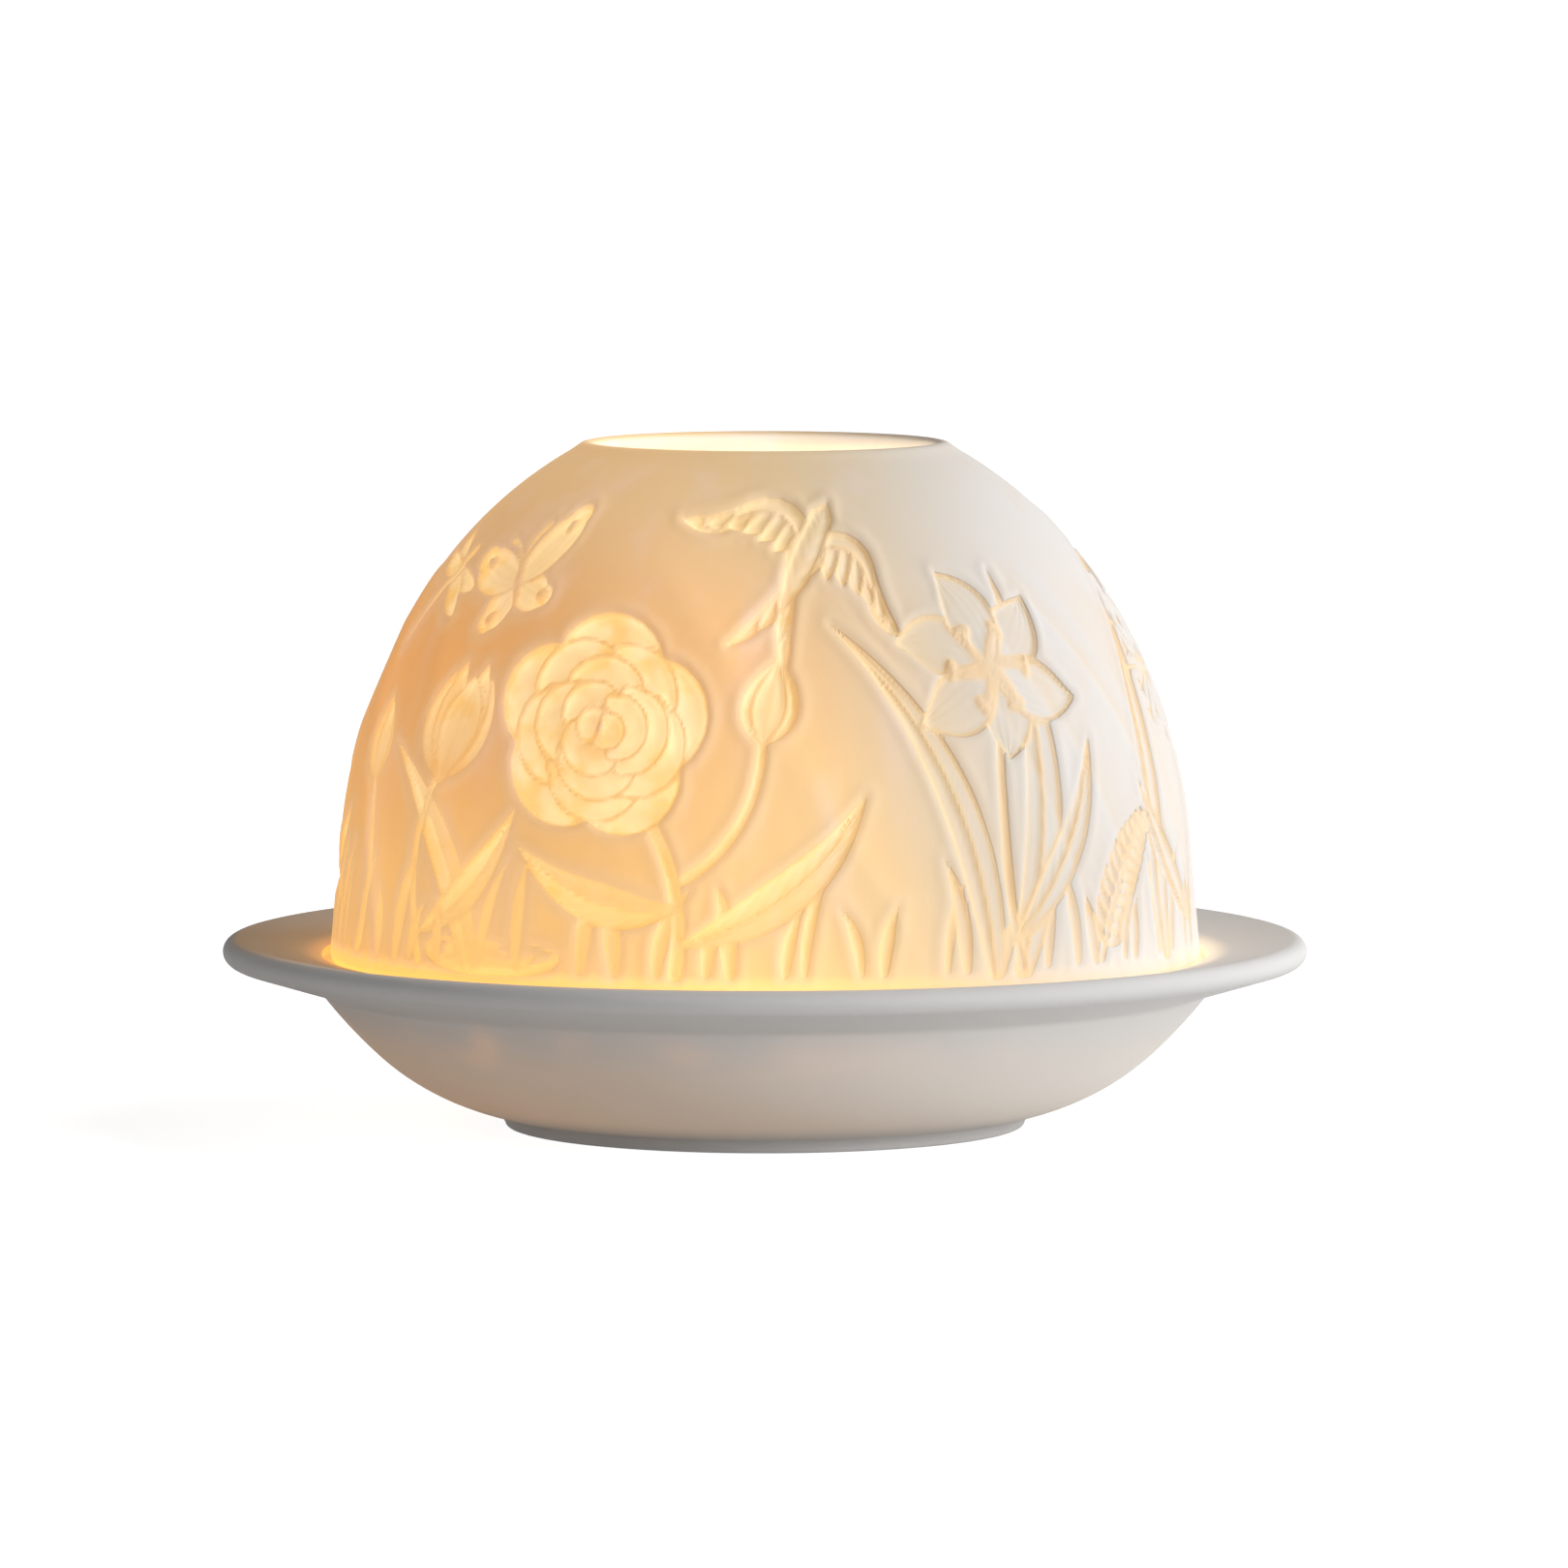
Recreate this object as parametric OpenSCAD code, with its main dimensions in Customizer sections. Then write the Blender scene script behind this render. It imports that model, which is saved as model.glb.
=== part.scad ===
// Porcelain lithophane candle dome on its saucer, with a tealight inside.
// The dome is a thin open-topped shade that rests on a ledge inside the saucer's rim. A picture of
// flowers is cut into its outside, where the thinner wall lets more light through.
// Everything round is an exact revolve about +Z. The origin is the centre of the foot's underside.

/* [Dome] */
// Outside diameter of the dome at its foot
dome_base_d = 96.4; // [80:0.2:130]
// Thickness of the dome's wall
dome_wall = 2.2; // [1.6:0.1:3]
// Inward lean of the straight lower wall, in degrees
dome_lean = 4.8; // [2:0.1:8]
// Height of the straight lower wall
dome_straight_h = 14; // [8:0.5:24]
// Outside radius of the curve above the straight wall
dome_side_r = 58.4; // [50:0.2:75]
// Slope at which the side curve gives way to the shoulder, in degrees from upright
dome_shoulder_at = 37; // [28:0.5:44]
// Outside radius of the shoulder
dome_shoulder_r = 46.4; // [40:0.2:60]
// Diameter of the opening at the top
vent_d = 37.2; // [26:0.2:44]
// Radius of the dome's outer bottom corner
dome_corner_r = 0.9; // [0.3:0.1:1]
// Radius of the dome's inner bottom corner
dome_inner_corner_r = 0.4; // [0.2:0.1:0.5]

/* [Relief] */
// Depth of the picture cut into the dome's outside
cut_depth = 0.6; // [0.3:0.1:1]
// Height of the picture's ground over the dome's foot
ground_h = 3; // [2:0.5:6]
// Half the thickness of a flower's stem
stem_half = 0.7; // [0.5:0.1:1.2]
// Half the width of a leaf
leaf_half = 2.2; // [1.5:0.1:3]

/* [Saucer] */
// Diameter of the foot ring over its outside
foot_d = 57.6; // [44:0.2:70]
// Height of the foot ring
foot_h = 1.5; // [1:0.1:3]
// Width of the foot ring where it stands
foot_w = 2.6; // [1.6:0.1:4]
// Chamfer round the outside of the foot ring
foot_chamfer = 0.4; // [0.2:0.1:0.8]
// How far the bowl stands out past the top of the foot ring
foot_step = 0.7; // [0.3:0.1:1.5]
// Height of the hollow inside the foot ring
foot_hollow = 1.2; // [0.6:0.1:2]
// Thickness of the saucer's floor
floor_t = 2.8; // [2:0.1:4]
// Radius of the flat part of the saucer's floor
floor_r = 26.2; // [22:0.2:30]
// Slope of the underside where it leaves the foot, in degrees
bowl_start_slope = 10.7; // [6:0.1:16]
// Radius of the lower curve of the underside
bowl_lower_r = 27.6; // [22:0.2:34]
// Slope of the underside between its two curves, in degrees
bowl_mid_slope = 42.4; // [38:0.1:46]
// Slope of the underside where it reaches the rim, in degrees
bowl_end_slope = 52.2; // [49:0.1:58]
// Height of the ledge that carries the dome above the underside's corner with the rim
ledge_t = 3.6; // [3:0.1:5]
// Gap between the dome's foot and the step round the ledge
ledge_gap = 0.8; // [0.4:0.1:1.4]
// How far the ledge reaches inward past the dome's wall
ledge_lap = 0.8; // [0.4:0.1:2]
// Radius of the ledge's inner edge
ledge_edge_r = 0.8; // [0.3:0.1:1]
// Width of the rim outside the ledge
rim_w = 11; // [7:0.2:20]
// Thickness of the rounded edge of the rim
rim_t = 2.76; // [2:0.02:4]
// Slope of the rim's underside, in degrees
rim_under_slope = 16.7; // [12:0.1:20]
// Slope of the rim's top, in degrees
rim_top_slope = 10; // [6:0.1:11]
// Radius of the hollow corner between the bowl and the rim
rim_fillet_r = 2; // [1:0.1:3]
// Depth of the shallow recess that centres the tealight
recess_h = 0.5; // [0.3:0.1:1]
// Gap between the tealight and the wall of its recess
recess_gap = 0.9; // [0.5:0.1:2]

/* [Tealight] */
// Diameter of the cup's base
cup_d = 37.2; // [34:0.2:40]
// Height of the cup
cup_h = 16; // [12:0.5:19]
// Thickness of the cup's sheet metal
cup_sheet = 0.3; // [0.2:0.05:0.5]
// How far the cup's wall leans out from base to rim
cup_flare = 0.4; // [0:0.1:0.8]
// Radius of the rolled bead round the cup's rim
cup_bead_r = 0.5; // [0.4:0.05:0.8]
// Radius of the cup's bottom corner
cup_corner_r = 1.4; // [0.8:0.1:2]
// Diameter of the raised panel pressed into the cup's base
cup_panel_d = 24; // [18:0.5:28]
// Height of that raised panel
cup_panel_h = 0.4; // [0.2:0.05:0.6]
// Depth of the wax in the cup
wax_h = 12; // [8:0.5:13]
// Gap between the wax and the cup's wall
wax_gap = 0.1; // [0.05:0.05:0.4]
// Dip of the wax surface at its middle
wax_dip = 0.8; // [0.3:0.1:1.5]
// Diameter of the wick holder's disc
holder_d = 12.5; // [9:0.5:16]
// Thickness of the wick holder's disc
holder_sheet = 0.3; // [0.2:0.05:0.5]
// Outside diameter of the wick holder's neck
holder_neck_d = 2.6; // [2.2:0.1:3.2]
// Height of the wick holder over its neck
holder_h = 4.5; // [3:0.5:7]
// Diameter of the wick
wick_d = 1.6; // [1.2:0.1:1.8]
// Gap round the wick in its holder and in the wax
wick_gap = 0.05; // [0.05:0.05:0.2]
// Length of the wick above the wax
wick_tip_h = 8; // [5:0.5:10]

/* [Hidden] */
$fn = 144;
// Largest turn between two points of an arc, in degrees
arc_step = 4;

// ======== outlines ========
// Outlines are lists of [radius, height] points, and angles are in degrees from the radius.

function at(c, r, a) = [c[0] + r * cos(a), c[1] + r * sin(a)];
function along(p, a, d) = at(p, d, a);
// The points of an arc about c; arc_on leaves out the first, where the outline already is
function arc_turns(a0, a1) = max(3, ceil(abs(a1 - a0) / arc_step));
function arc(c, r, a0, a1) =
    let (n = arc_turns(a0, a1)) [for (i = [0:n]) at(c, r, a0 + (a1 - a0) * i / n)];
function arc_on(c, r, a0, a1) =
    let (n = arc_turns(a0, a1)) [for (i = [1:n]) at(c, r, a0 + (a1 - a0) * i / n)];
function reversed(points) = [for (i = [len(points) - 1:-1:0]) points[i]];

// ---- saucer, worked out from the foot upwards ----
foot_r = foot_d / 2;
floor_z = foot_hollow + floor_t;
step_r = dome_base_d / 2 + ledge_gap;
// The underside is two arcs from the foot to below the step round the ledge
bowl_start = [foot_r + foot_step, foot_h];
bowl_lower_c = along(bowl_start, bowl_start_slope + 90, bowl_lower_r);
bowl_mid = at(bowl_lower_c, bowl_lower_r, bowl_mid_slope - 90);
bowl_upper_r = (step_r - bowl_mid[0]) / (sin(bowl_end_slope) - sin(bowl_mid_slope));
bowl_upper_c = along(bowl_mid, bowl_mid_slope + 90, bowl_upper_r);
bowl_end = at(bowl_upper_c, bowl_upper_r, bowl_end_slope - 90);
// A hollow corner turns the bowl into the rim
rim_fillet_c = along(bowl_end, bowl_end_slope - 90, rim_fillet_r);
rim_start = at(rim_fillet_c, rim_fillet_r, rim_under_slope + 90);
// The rim's edge is a half round that meets the rim's underside and top at their slopes
rim_edge_r = rim_t / 2;
rim_edge_x = step_r + rim_w - rim_edge_r;
rim_under_run = rim_edge_x + rim_edge_r * sin(rim_under_slope) - rim_start[0];
rim_edge_c = along(along(rim_start, rim_under_slope, rim_under_run / cos(rim_under_slope)),
                   rim_under_slope + 90, rim_edge_r);
rim_top_end = at(rim_edge_c, rim_edge_r, rim_top_slope + 90);
rim_top_z = rim_top_end[1] - (rim_top_end[0] - step_r) * tan(rim_top_slope);
// The ledge, and the well inside it: one arc from the flat floor up to the ledge's inner edge
ledge_z = bowl_end[1] + ledge_t;
ledge_in_r = dome_base_d / 2 - dome_wall - ledge_lap;
ledge_edge_c = [ledge_in_r + ledge_edge_r, ledge_z - ledge_edge_r];
well_w = ledge_in_r - floor_r;
well_turn = 2 * atan((ledge_edge_c[1] - floor_z) / well_w);
well_arc_r = well_w / sin(well_turn);
well_c = [floor_r, floor_z + well_arc_r];
recess_r = cup_d / 2 + recess_gap;

saucer_outline = concat(
    [
        [0, foot_hollow],
        [foot_r - foot_w, foot_hollow],
        [foot_r - foot_w, 0],
        [foot_r - foot_chamfer, 0],
        [foot_r, foot_chamfer]
    ],
    arc(bowl_lower_c, bowl_lower_r, bowl_start_slope - 90, bowl_mid_slope - 90),
    arc_on(bowl_upper_c, bowl_upper_r, bowl_mid_slope - 90, bowl_end_slope - 90),
    arc_on(rim_fillet_c, rim_fillet_r, bowl_end_slope + 90, rim_under_slope + 90),
    arc(rim_edge_c, rim_edge_r, rim_under_slope - 90, rim_top_slope + 90),
    [[step_r, rim_top_z], [step_r, ledge_z]],
    arc(ledge_edge_c, ledge_edge_r, 90, 180),
    arc_on(well_c, well_arc_r, well_turn - 90, -90),
    [[recess_r, floor_z], [recess_r, floor_z - recess_h], [0, floor_z - recess_h]]
);

// ---- dome, worked out from the ledge upwards ----
dome_foot_r = dome_base_d / 2;
dome_foot_in_r = dome_foot_r - dome_wall / cos(dome_lean);
dome_corner_c = [
    dome_foot_r - dome_corner_r * (1 + sin(dome_lean)) / cos(dome_lean),
    ledge_z + dome_corner_r
];
dome_inner_corner_c = [
    dome_foot_in_r + dome_inner_corner_r * (1 - sin(dome_lean)) / cos(dome_lean),
    ledge_z + dome_inner_corner_r
];
side_start = along([dome_foot_r, ledge_z], 90 + dome_lean, dome_straight_h / cos(dome_lean));
side_c = along(side_start, dome_lean + 180, dome_side_r);
shoulder_start = at(side_c, dome_side_r, dome_shoulder_at);
shoulder_c = along(shoulder_start, dome_shoulder_at + 180, dome_shoulder_r);
// The lip is a full round, and its inner edge is the opening
lip_r = dome_wall / 2;
lip_at = acos((vent_d / 2 + lip_r - shoulder_c[0]) / (dome_shoulder_r - lip_r));
lip_c = at(shoulder_c, dome_shoulder_r - lip_r, lip_at);
vent_z = lip_c[1] + lip_r;

// The dome's face at one depth below its outside, from the straight wall to the lip
function dome_face(depth) = concat(
    arc(side_c, dome_side_r - depth, dome_lean, dome_shoulder_at),
    arc_on(shoulder_c, dome_shoulder_r - depth, dome_shoulder_at, lip_at)
);

dome_outline = concat(
    arc(dome_corner_c, dome_corner_r, -90, dome_lean),
    dome_face(0),
    arc_on(lip_c, lip_r, lip_at, lip_at + 180),
    [for (i = [1:len(dome_face(0)) - 1]) reversed(dome_face(dome_wall))[i]],
    arc(dome_inner_corner_c, dome_inner_corner_r, dome_lean + 180, 270)
);

// ---- relief: the picture cut into the dome, main forms only ----
// It is drawn in units of a 96.4 mm dome, on flat sheets held against the dome. Each sheet faces
// one way, in degrees round the dome from the front, and places on it are [across, up].
unit = dome_base_d / 96.4;
// What no stroke reaches: all that lies deeper than the cut, and the lip
uncut_outline = concat(
    [[0, ledge_z], [dome_foot_r - cut_depth / cos(dome_lean), ledge_z]],
    dome_face(cut_depth),
    [[dome_foot_r, lip_c[1]], [dome_foot_r, vent_z], [0, vent_z]]
);
ground = ground_h / unit;
// Half-widths along a stroke, from base to tip
PETAL = [0.3, 0.85, 1, 0.8, 0.1];
LEAF = [0.1, 0.85, 1, 0.7, 0.1];
REED = [0.55, 1, 1, 0.6, 0.1];
STEM = [1, 1, 1];
// A tulip's outline, in shares of its height
CUP = [
    [-0.05, 0], [-0.27, 0.2], [-0.33, 0.5], [-0.35, 0.93], [-0.17, 0.74], [0, 1],
    [0.17, 0.74], [0.35, 0.93], [0.33, 0.5], [0.27, 0.2], [0.05, 0]
];
// Flowers: facing, centre or base, size, turn
ROSES = [[-8, [-12, 29], 11.5, 12], [162, [1, 29], 11, 40], [264, [-2, 32], 10.5, 70]];
LILIES = [[38, [-1, 35], 11.5, 96], [112, [-2, 32], 12, 20], [228, [-2, 25], 10.5, 66]];
TULIPS = [[-52, [1, 23], 12, 84], [196, [1, 29], 13, 92]];
BUDS = [[-8, [6, 27.5], 9, 82], [286, [4, 21.5], 9, 100]];
// Small animals: facing, centre, size, turn
SWALLOWS = [[4, [2, 47], 7.6, 62], [214, [2, 46], 7.4, 118]];
BUTTERFLIES = [[-44, [-3, 44], 7.5, 24], [138, [2, 45], 8, -18]];
DRAGONFLIES = [[78, [8, 46], 8, 30], [292, [-2, 44], 8, -24]];
// Stems, leaves and reeds: facing, start, bend, end; the start's height is over the ground
STEMS = [
    [-8, [-3, 0], [-1, 16], [-11, 25]], [-8, [-2.2, 10], [6, 18], [6, 28]],
    [-52, [0, 0], [-4, 14], [1, 24]],
    [38, [-2, 0], [-5, 20], [-1, 32]], [74, [4, 0], [8, 16], [6, 26]],
    [112, [0, 0], [-4, 16], [-2, 27]], [162, [2, 0], [6, 16], [2, 25]],
    [196, [0, 0], [4, 18], [1, 30]], [228, [0, 0], [-5, 12], [-2, 20]],
    [264, [0, 0], [4, 16], [-1, 28]], [286, [4, 0], [8, 12], [4, 22]]
];
LEAVES = [
    [-8, [-2.6, 3], [12, 10], [17, 22]], [-8, [-2.8, 7], [-13, 8], [-21, 16]],
    [-52, [0, 3], [9, 10], [13, 20]], [38, [-2.5, 3], [7, 14], [11, 27]],
    [74, [4, 2], [-5, 12], [-9, 22]], [112, [0, 2], [10, 12], [15, 26]],
    [162, [2, 3], [12, 10], [17, 21]], [196, [0, 3], [-8, 12], [-11, 24]],
    [264, [0, 3], [10, 12], [15, 18]], [264, [0, 7], [-8, 12], [-14, 24]]
];
REEDS = [
    [12, [16, 0], [14, 26], [-1, 40]], [20, [13, 0], [20, 22], [14, 45]],
    [-30, [-10, 0], [-14, 18], [-25, 26]], [74, [-6, 0], [-9, 26], [3, 42]],
    [144, [0, 0], [-4, 26], [-12, 36]], [236, [4, 0], [10, 24], [4, 42]]
];

// A point and the way ahead on the curve from a to c that is drawn towards b
function curve_at(a, b, c, t) = (1 - t) * (1 - t) * a + 2 * t * (1 - t) * b + t * t * c;
function curve_way(a, b, c, t) = let (d = (1 - t) * (b - a) + t * (c - b)) d / norm(d);
// One side of a stroke: its half-widths set off square to the curve
function stroke_side(a, b, c, widths) = [
    for (i = [0:len(widths) - 1])
        let (t = i / (len(widths) - 1), w = curve_way(a, b, c, t))
            curve_at(a, b, c, t) + widths[i] * [-w[1], w[0]]
];
function stroke(a, b, c, widths) =
    concat(stroke_side(a, b, c, widths), reversed(stroke_side(a, b, c, -widths)));

// ---- tealight, standing in the recess ----
cup_z = floor_z - recess_h;
cup_lean = atan(cup_flare / cup_h);
cup_corner_c = [cup_d / 2 - cup_corner_r, cup_z + cup_corner_r];
cup_rim_z = cup_z + cup_h - cup_bead_r;
panel_r = cup_panel_d / 2;
inside_z = cup_z + cup_panel_h + cup_sheet;
wax_top_z = cup_z + wax_h;
wick_bore_d = wick_d + 2 * wick_gap;

// Radius of the cup's outside at one height up its wall
function cup_wall_r(z) =
    cup_corner_c[0] + cup_corner_r / cos(cup_lean) + (z - cup_corner_c[1]) * tan(cup_lean);
// The cup's skin at one depth below its outside, from radius r0 on its base up to height z1
function cup_skin(depth, r0, z1) = concat(
    [
        [r0, cup_z + cup_panel_h + depth],
        [panel_r + depth, cup_z + cup_panel_h + depth],
        [panel_r + depth, cup_z + depth]
    ],
    arc(cup_corner_c, cup_corner_r - depth, -90, -cup_lean),
    [[cup_wall_r(z1) - depth / cos(cup_lean), z1]]
);

// The wax fills the cup's skin, settled down onto its base, and its top is a shallow hollow
wax_depth = cup_sheet + wax_gap;
wax_top_r = cup_wall_r(wax_top_z + wax_gap) - wax_depth / cos(cup_lean);
dip_r = (pow(wax_top_r, 2) + pow(wax_dip, 2)) / (2 * wax_dip);
dip_c = [0, wax_top_z - wax_dip + dip_r];
neck_hole_r = holder_neck_d / 2 + wax_gap;
disc_hole_r = holder_d / 2 + wax_gap;
disc_hole_z = inside_z + holder_sheet + wax_gap;
neck_hole_z = inside_z + holder_h + wax_gap;

wax_outline = concat(
    [for (p = cup_skin(wax_depth, disc_hole_r, wax_top_z + wax_gap)) p - [0, wax_gap]],
    arc_on(dip_c, dip_r, asin(wax_top_r / dip_r) - 90, asin(wick_bore_d / 2 / dip_r) - 90),
    [
        [wick_bore_d / 2, neck_hole_z],
        [neck_hole_r, neck_hole_z],
        [neck_hole_r, disc_hole_z],
        [disc_hole_r, disc_hole_z]
    ]
);

// ======== pieces ========

module saucer() {
    color("gainsboro") rotate_extrude() polygon(saucer_outline);
}

// The strokes that a table holds, on the sheet that faces one way
module strokes(table, facing, profile, half) {
    for (s = table)
        if (s[0] == facing) polygon(stroke(s[1] + [0, ground], s[2], s[3], profile * half / unit));
}

// A petal from c at angle a
module petal(c, a, length, half, profile = PETAL) {
    polygon(stroke(c, at(c, length / 2, a), at(c, length, a), profile * half));
}

module rose(size, turn) {
    circle(r = 0.8 * size);
    for (k = [0:4]) translate(at([0, 0], 0.52 * size, turn + 72 * k)) circle(r = 0.47 * size);
}

module lily(size, turn) {
    for (k = [0:5]) petal([0, 0], turn + 60 * k, size * (k % 2 == 0 ? 1 : 0.92), 0.27 * size);
}

// A cup of petals from the side, with three points
module tulip(size, turn) {
    rotate(turn - 90) scale(size) polygon(CUP);
}

module bud(size, turn) {
    petal([0, 0], turn, size, 0.26 * size);
}

// Body, wings and forked tail, flying towards turn
module swallow(size, turn) {
    rotate(turn) scale(size) {
        polygon(stroke([-0.75, 0], [0, 0], [0.85, 0], LEAF * 0.2));
        for (side = [-1, 1]) {
            polygon(stroke([0.05, 0.1 * side], [0.6, 0.8 * side], [-0.3, 1.5 * side], PETAL * 0.3));
            polygon(stroke([-0.5, 0], [-1, 0.08 * side], [-1.6, 0.45 * side], LEAF * 0.14));
        }
    }
}

module butterfly(size, turn) {
    for (side = [0, 1]) rotate(turn) mirror([side, 0]) {
        petal([0, 0], 36, size, 0.3 * size);
        petal([0, 0], -42, 0.7 * size, 0.25 * size);
    }
}

module dragonfly(size, turn) {
    rotate(turn) {
        for (a = [12, -14, 168, 194]) petal([0, 0], a, 0.9 * size, 0.12 * size);
        petal([0, 0.3 * size], -92, 1.4 * size, 0.08 * size, STEM);
    }
}

// Everything that is drawn on the sheet that faces one way
module sheet(facing) {
    strokes(STEMS, facing, STEM, stem_half);
    strokes(LEAVES, facing, LEAF, leaf_half);
    strokes(REEDS, facing, REED, leaf_half);
    for (f = ROSES) if (f[0] == facing) translate(f[1]) rose(f[2], f[3]);
    for (f = LILIES) if (f[0] == facing) translate(f[1]) lily(f[2], f[3]);
    for (f = TULIPS) if (f[0] == facing) translate(f[1]) tulip(f[2], f[3]);
    for (f = BUDS) if (f[0] == facing) translate(f[1]) bud(f[2], f[3]);
    for (f = SWALLOWS) if (f[0] == facing) translate(f[1]) swallow(f[2], f[3]);
    for (f = BUTTERFLIES) if (f[0] == facing) translate(f[1]) butterfly(f[2], f[3]);
    for (f = DRAGONFLIES) if (f[0] == facing) translate(f[1]) dragonfly(f[2], f[3]);
}

FACINGS = [
    -52, -44, -30, -8, 4, 12, 20, 38, 74, 78, 112, 138, 144, 162, 196, 214, 228, 236, 264, 286, 292
];

// The sheets' drawings, pushed in from outside and stopped at the cut's depth
module picture() {
    difference() {
        for (facing = FACINGS)
            rotate([0, 0, facing]) translate([0, 0, ledge_z]) rotate([90, 0, 0])
                linear_extrude(dome_foot_r + 1) scale(unit) sheet(facing);
        rotate_extrude() polygon(uncut_outline);
    }
}

module dome() {
    color("seashell") difference() {
        rotate_extrude() polygon(dome_outline);
        picture();
    }
}

module candle_cup() {
    color("silver") rotate_extrude() {
        polygon(concat(cup_skin(0, 0, cup_rim_z), reversed(cup_skin(cup_sheet, 0, cup_rim_z))));
        // the rolled bead round the rim
        translate([cup_wall_r(cup_rim_z) - cup_sheet / 2, cup_rim_z]) circle(r = cup_bead_r);
    }
}

module candle_wax() {
    color("ivory") rotate_extrude() polygon(wax_outline);
}

// The holder's disc stands on the cup's raised panel, and its neck grips the wick
module wick_holder() {
    color("lightsteelblue") translate([0, 0, inside_z]) difference() {
        union() {
            cylinder(d = holder_d, h = holder_sheet);
            cylinder(d = holder_neck_d, h = holder_h);
        }
        translate([0, 0, holder_sheet]) cylinder(d = wick_bore_d, h = holder_h);
    }
}

module wick() {
    wick_z = inside_z + holder_sheet;
    color("dimgray") translate([0, 0, wick_z]) cylinder(d = wick_d, h = wax_top_z + wick_tip_h - wick_z);
}

saucer();
dome();
candle_cup();
candle_wax();
wick_holder();
wick();
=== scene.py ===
# %% [markdown]
# # A porcelain candle dome with a picture in its wall
#
# A lithophane is a picture pressed into thin unglazed porcelain. Where the wall is thin, the
# candle behind it shines through pale and bright; where it is thick, the light comes out deep
# orange. This lesson dresses a ready-made construction: a saucer, a dome that stands on it, and
# a tealight. Those solids come in as a fixed frame, and every piece made here has to agree
# with them.

# %% Load the frame
import math

import bpy
import numpy as np
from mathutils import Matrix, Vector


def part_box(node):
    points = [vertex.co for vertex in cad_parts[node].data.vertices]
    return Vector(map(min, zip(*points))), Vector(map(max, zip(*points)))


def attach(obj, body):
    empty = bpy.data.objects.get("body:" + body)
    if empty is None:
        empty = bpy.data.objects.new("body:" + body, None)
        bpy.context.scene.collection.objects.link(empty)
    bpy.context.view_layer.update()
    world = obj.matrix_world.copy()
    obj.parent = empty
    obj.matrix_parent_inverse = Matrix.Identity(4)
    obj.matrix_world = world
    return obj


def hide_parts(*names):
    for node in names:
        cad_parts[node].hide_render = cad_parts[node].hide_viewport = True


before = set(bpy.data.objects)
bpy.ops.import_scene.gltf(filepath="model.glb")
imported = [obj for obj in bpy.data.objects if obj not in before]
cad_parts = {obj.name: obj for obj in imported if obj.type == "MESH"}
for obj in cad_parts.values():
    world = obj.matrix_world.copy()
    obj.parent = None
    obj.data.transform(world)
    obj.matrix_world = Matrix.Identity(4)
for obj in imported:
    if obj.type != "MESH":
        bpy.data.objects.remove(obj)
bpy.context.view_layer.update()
MM = 0.001
for name in sorted(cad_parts):
    low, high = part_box(name)
    print(name, "spans", [round(1000 * v, 1) for v in (high - low)], "mm")

# %% [markdown]
# ## The camera
#
# A long lens from far away keeps the ellipses of the rims flat, as in a catalogue. The camera
# stands a little above the saucer and looks slightly down, so the far wall shows through
# the opening as a thin sliver.

# %% Set the camera
CAMERA_PLACE = (0.0021, -1.3, 0.15)
CAMERA_DOWN = math.radians(4.934)
LENS_MM = 270.8

camera_data = bpy.data.cameras.new("catalogue_camera")
camera_data.lens = LENS_MM
camera_data.sensor_width = 36
camera = bpy.data.objects.new("catalogue_camera", camera_data)
camera.location = CAMERA_PLACE
camera.rotation_euler = (math.pi / 2 - CAMERA_DOWN, 0, 0)
bpy.context.scene.collection.objects.link(camera)
bpy.context.scene.camera = camera
bpy.context.scene.view_settings.view_transform = "Standard"
print("camera", round(math.degrees(CAMERA_DOWN), 2), "degrees down,", LENS_MM, "mm lens")

# %% [markdown]
# ## Shader maths in plain Python
#
# A material is a graph of small nodes. Writing the graph out node by node hides the idea behind
# it, so one class wraps a socket and lets Python's own + - * / build the Math nodes. Anything
# else, such as noise and mixes, comes from one method, `node`, that takes the node's type, its
# settings and what goes into its sockets.

# %% A socket that can be calculated with
class Value:
    def __init__(self, paint, socket):
        self.paint = paint
        self.socket = socket

    def math(self, operation, a, b):
        return self.paint.node("ShaderNodeMath", {"operation": operation}, {0: a, 1: b})

    def __add__(self, other):
        return self.math("ADD", self, other)

    def __sub__(self, other):
        return self.math("SUBTRACT", self, other)

    def __rsub__(self, other):
        return self.math("SUBTRACT", other, self)

    def __mul__(self, other):
        return self.math("MULTIPLY", self, other)

    def __truediv__(self, other):
        return self.math("DIVIDE", self, other)

    def __pow__(self, other):
        return self.math("POWER", self, other)

    __radd__ = __add__
    __rmul__ = __mul__


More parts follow.
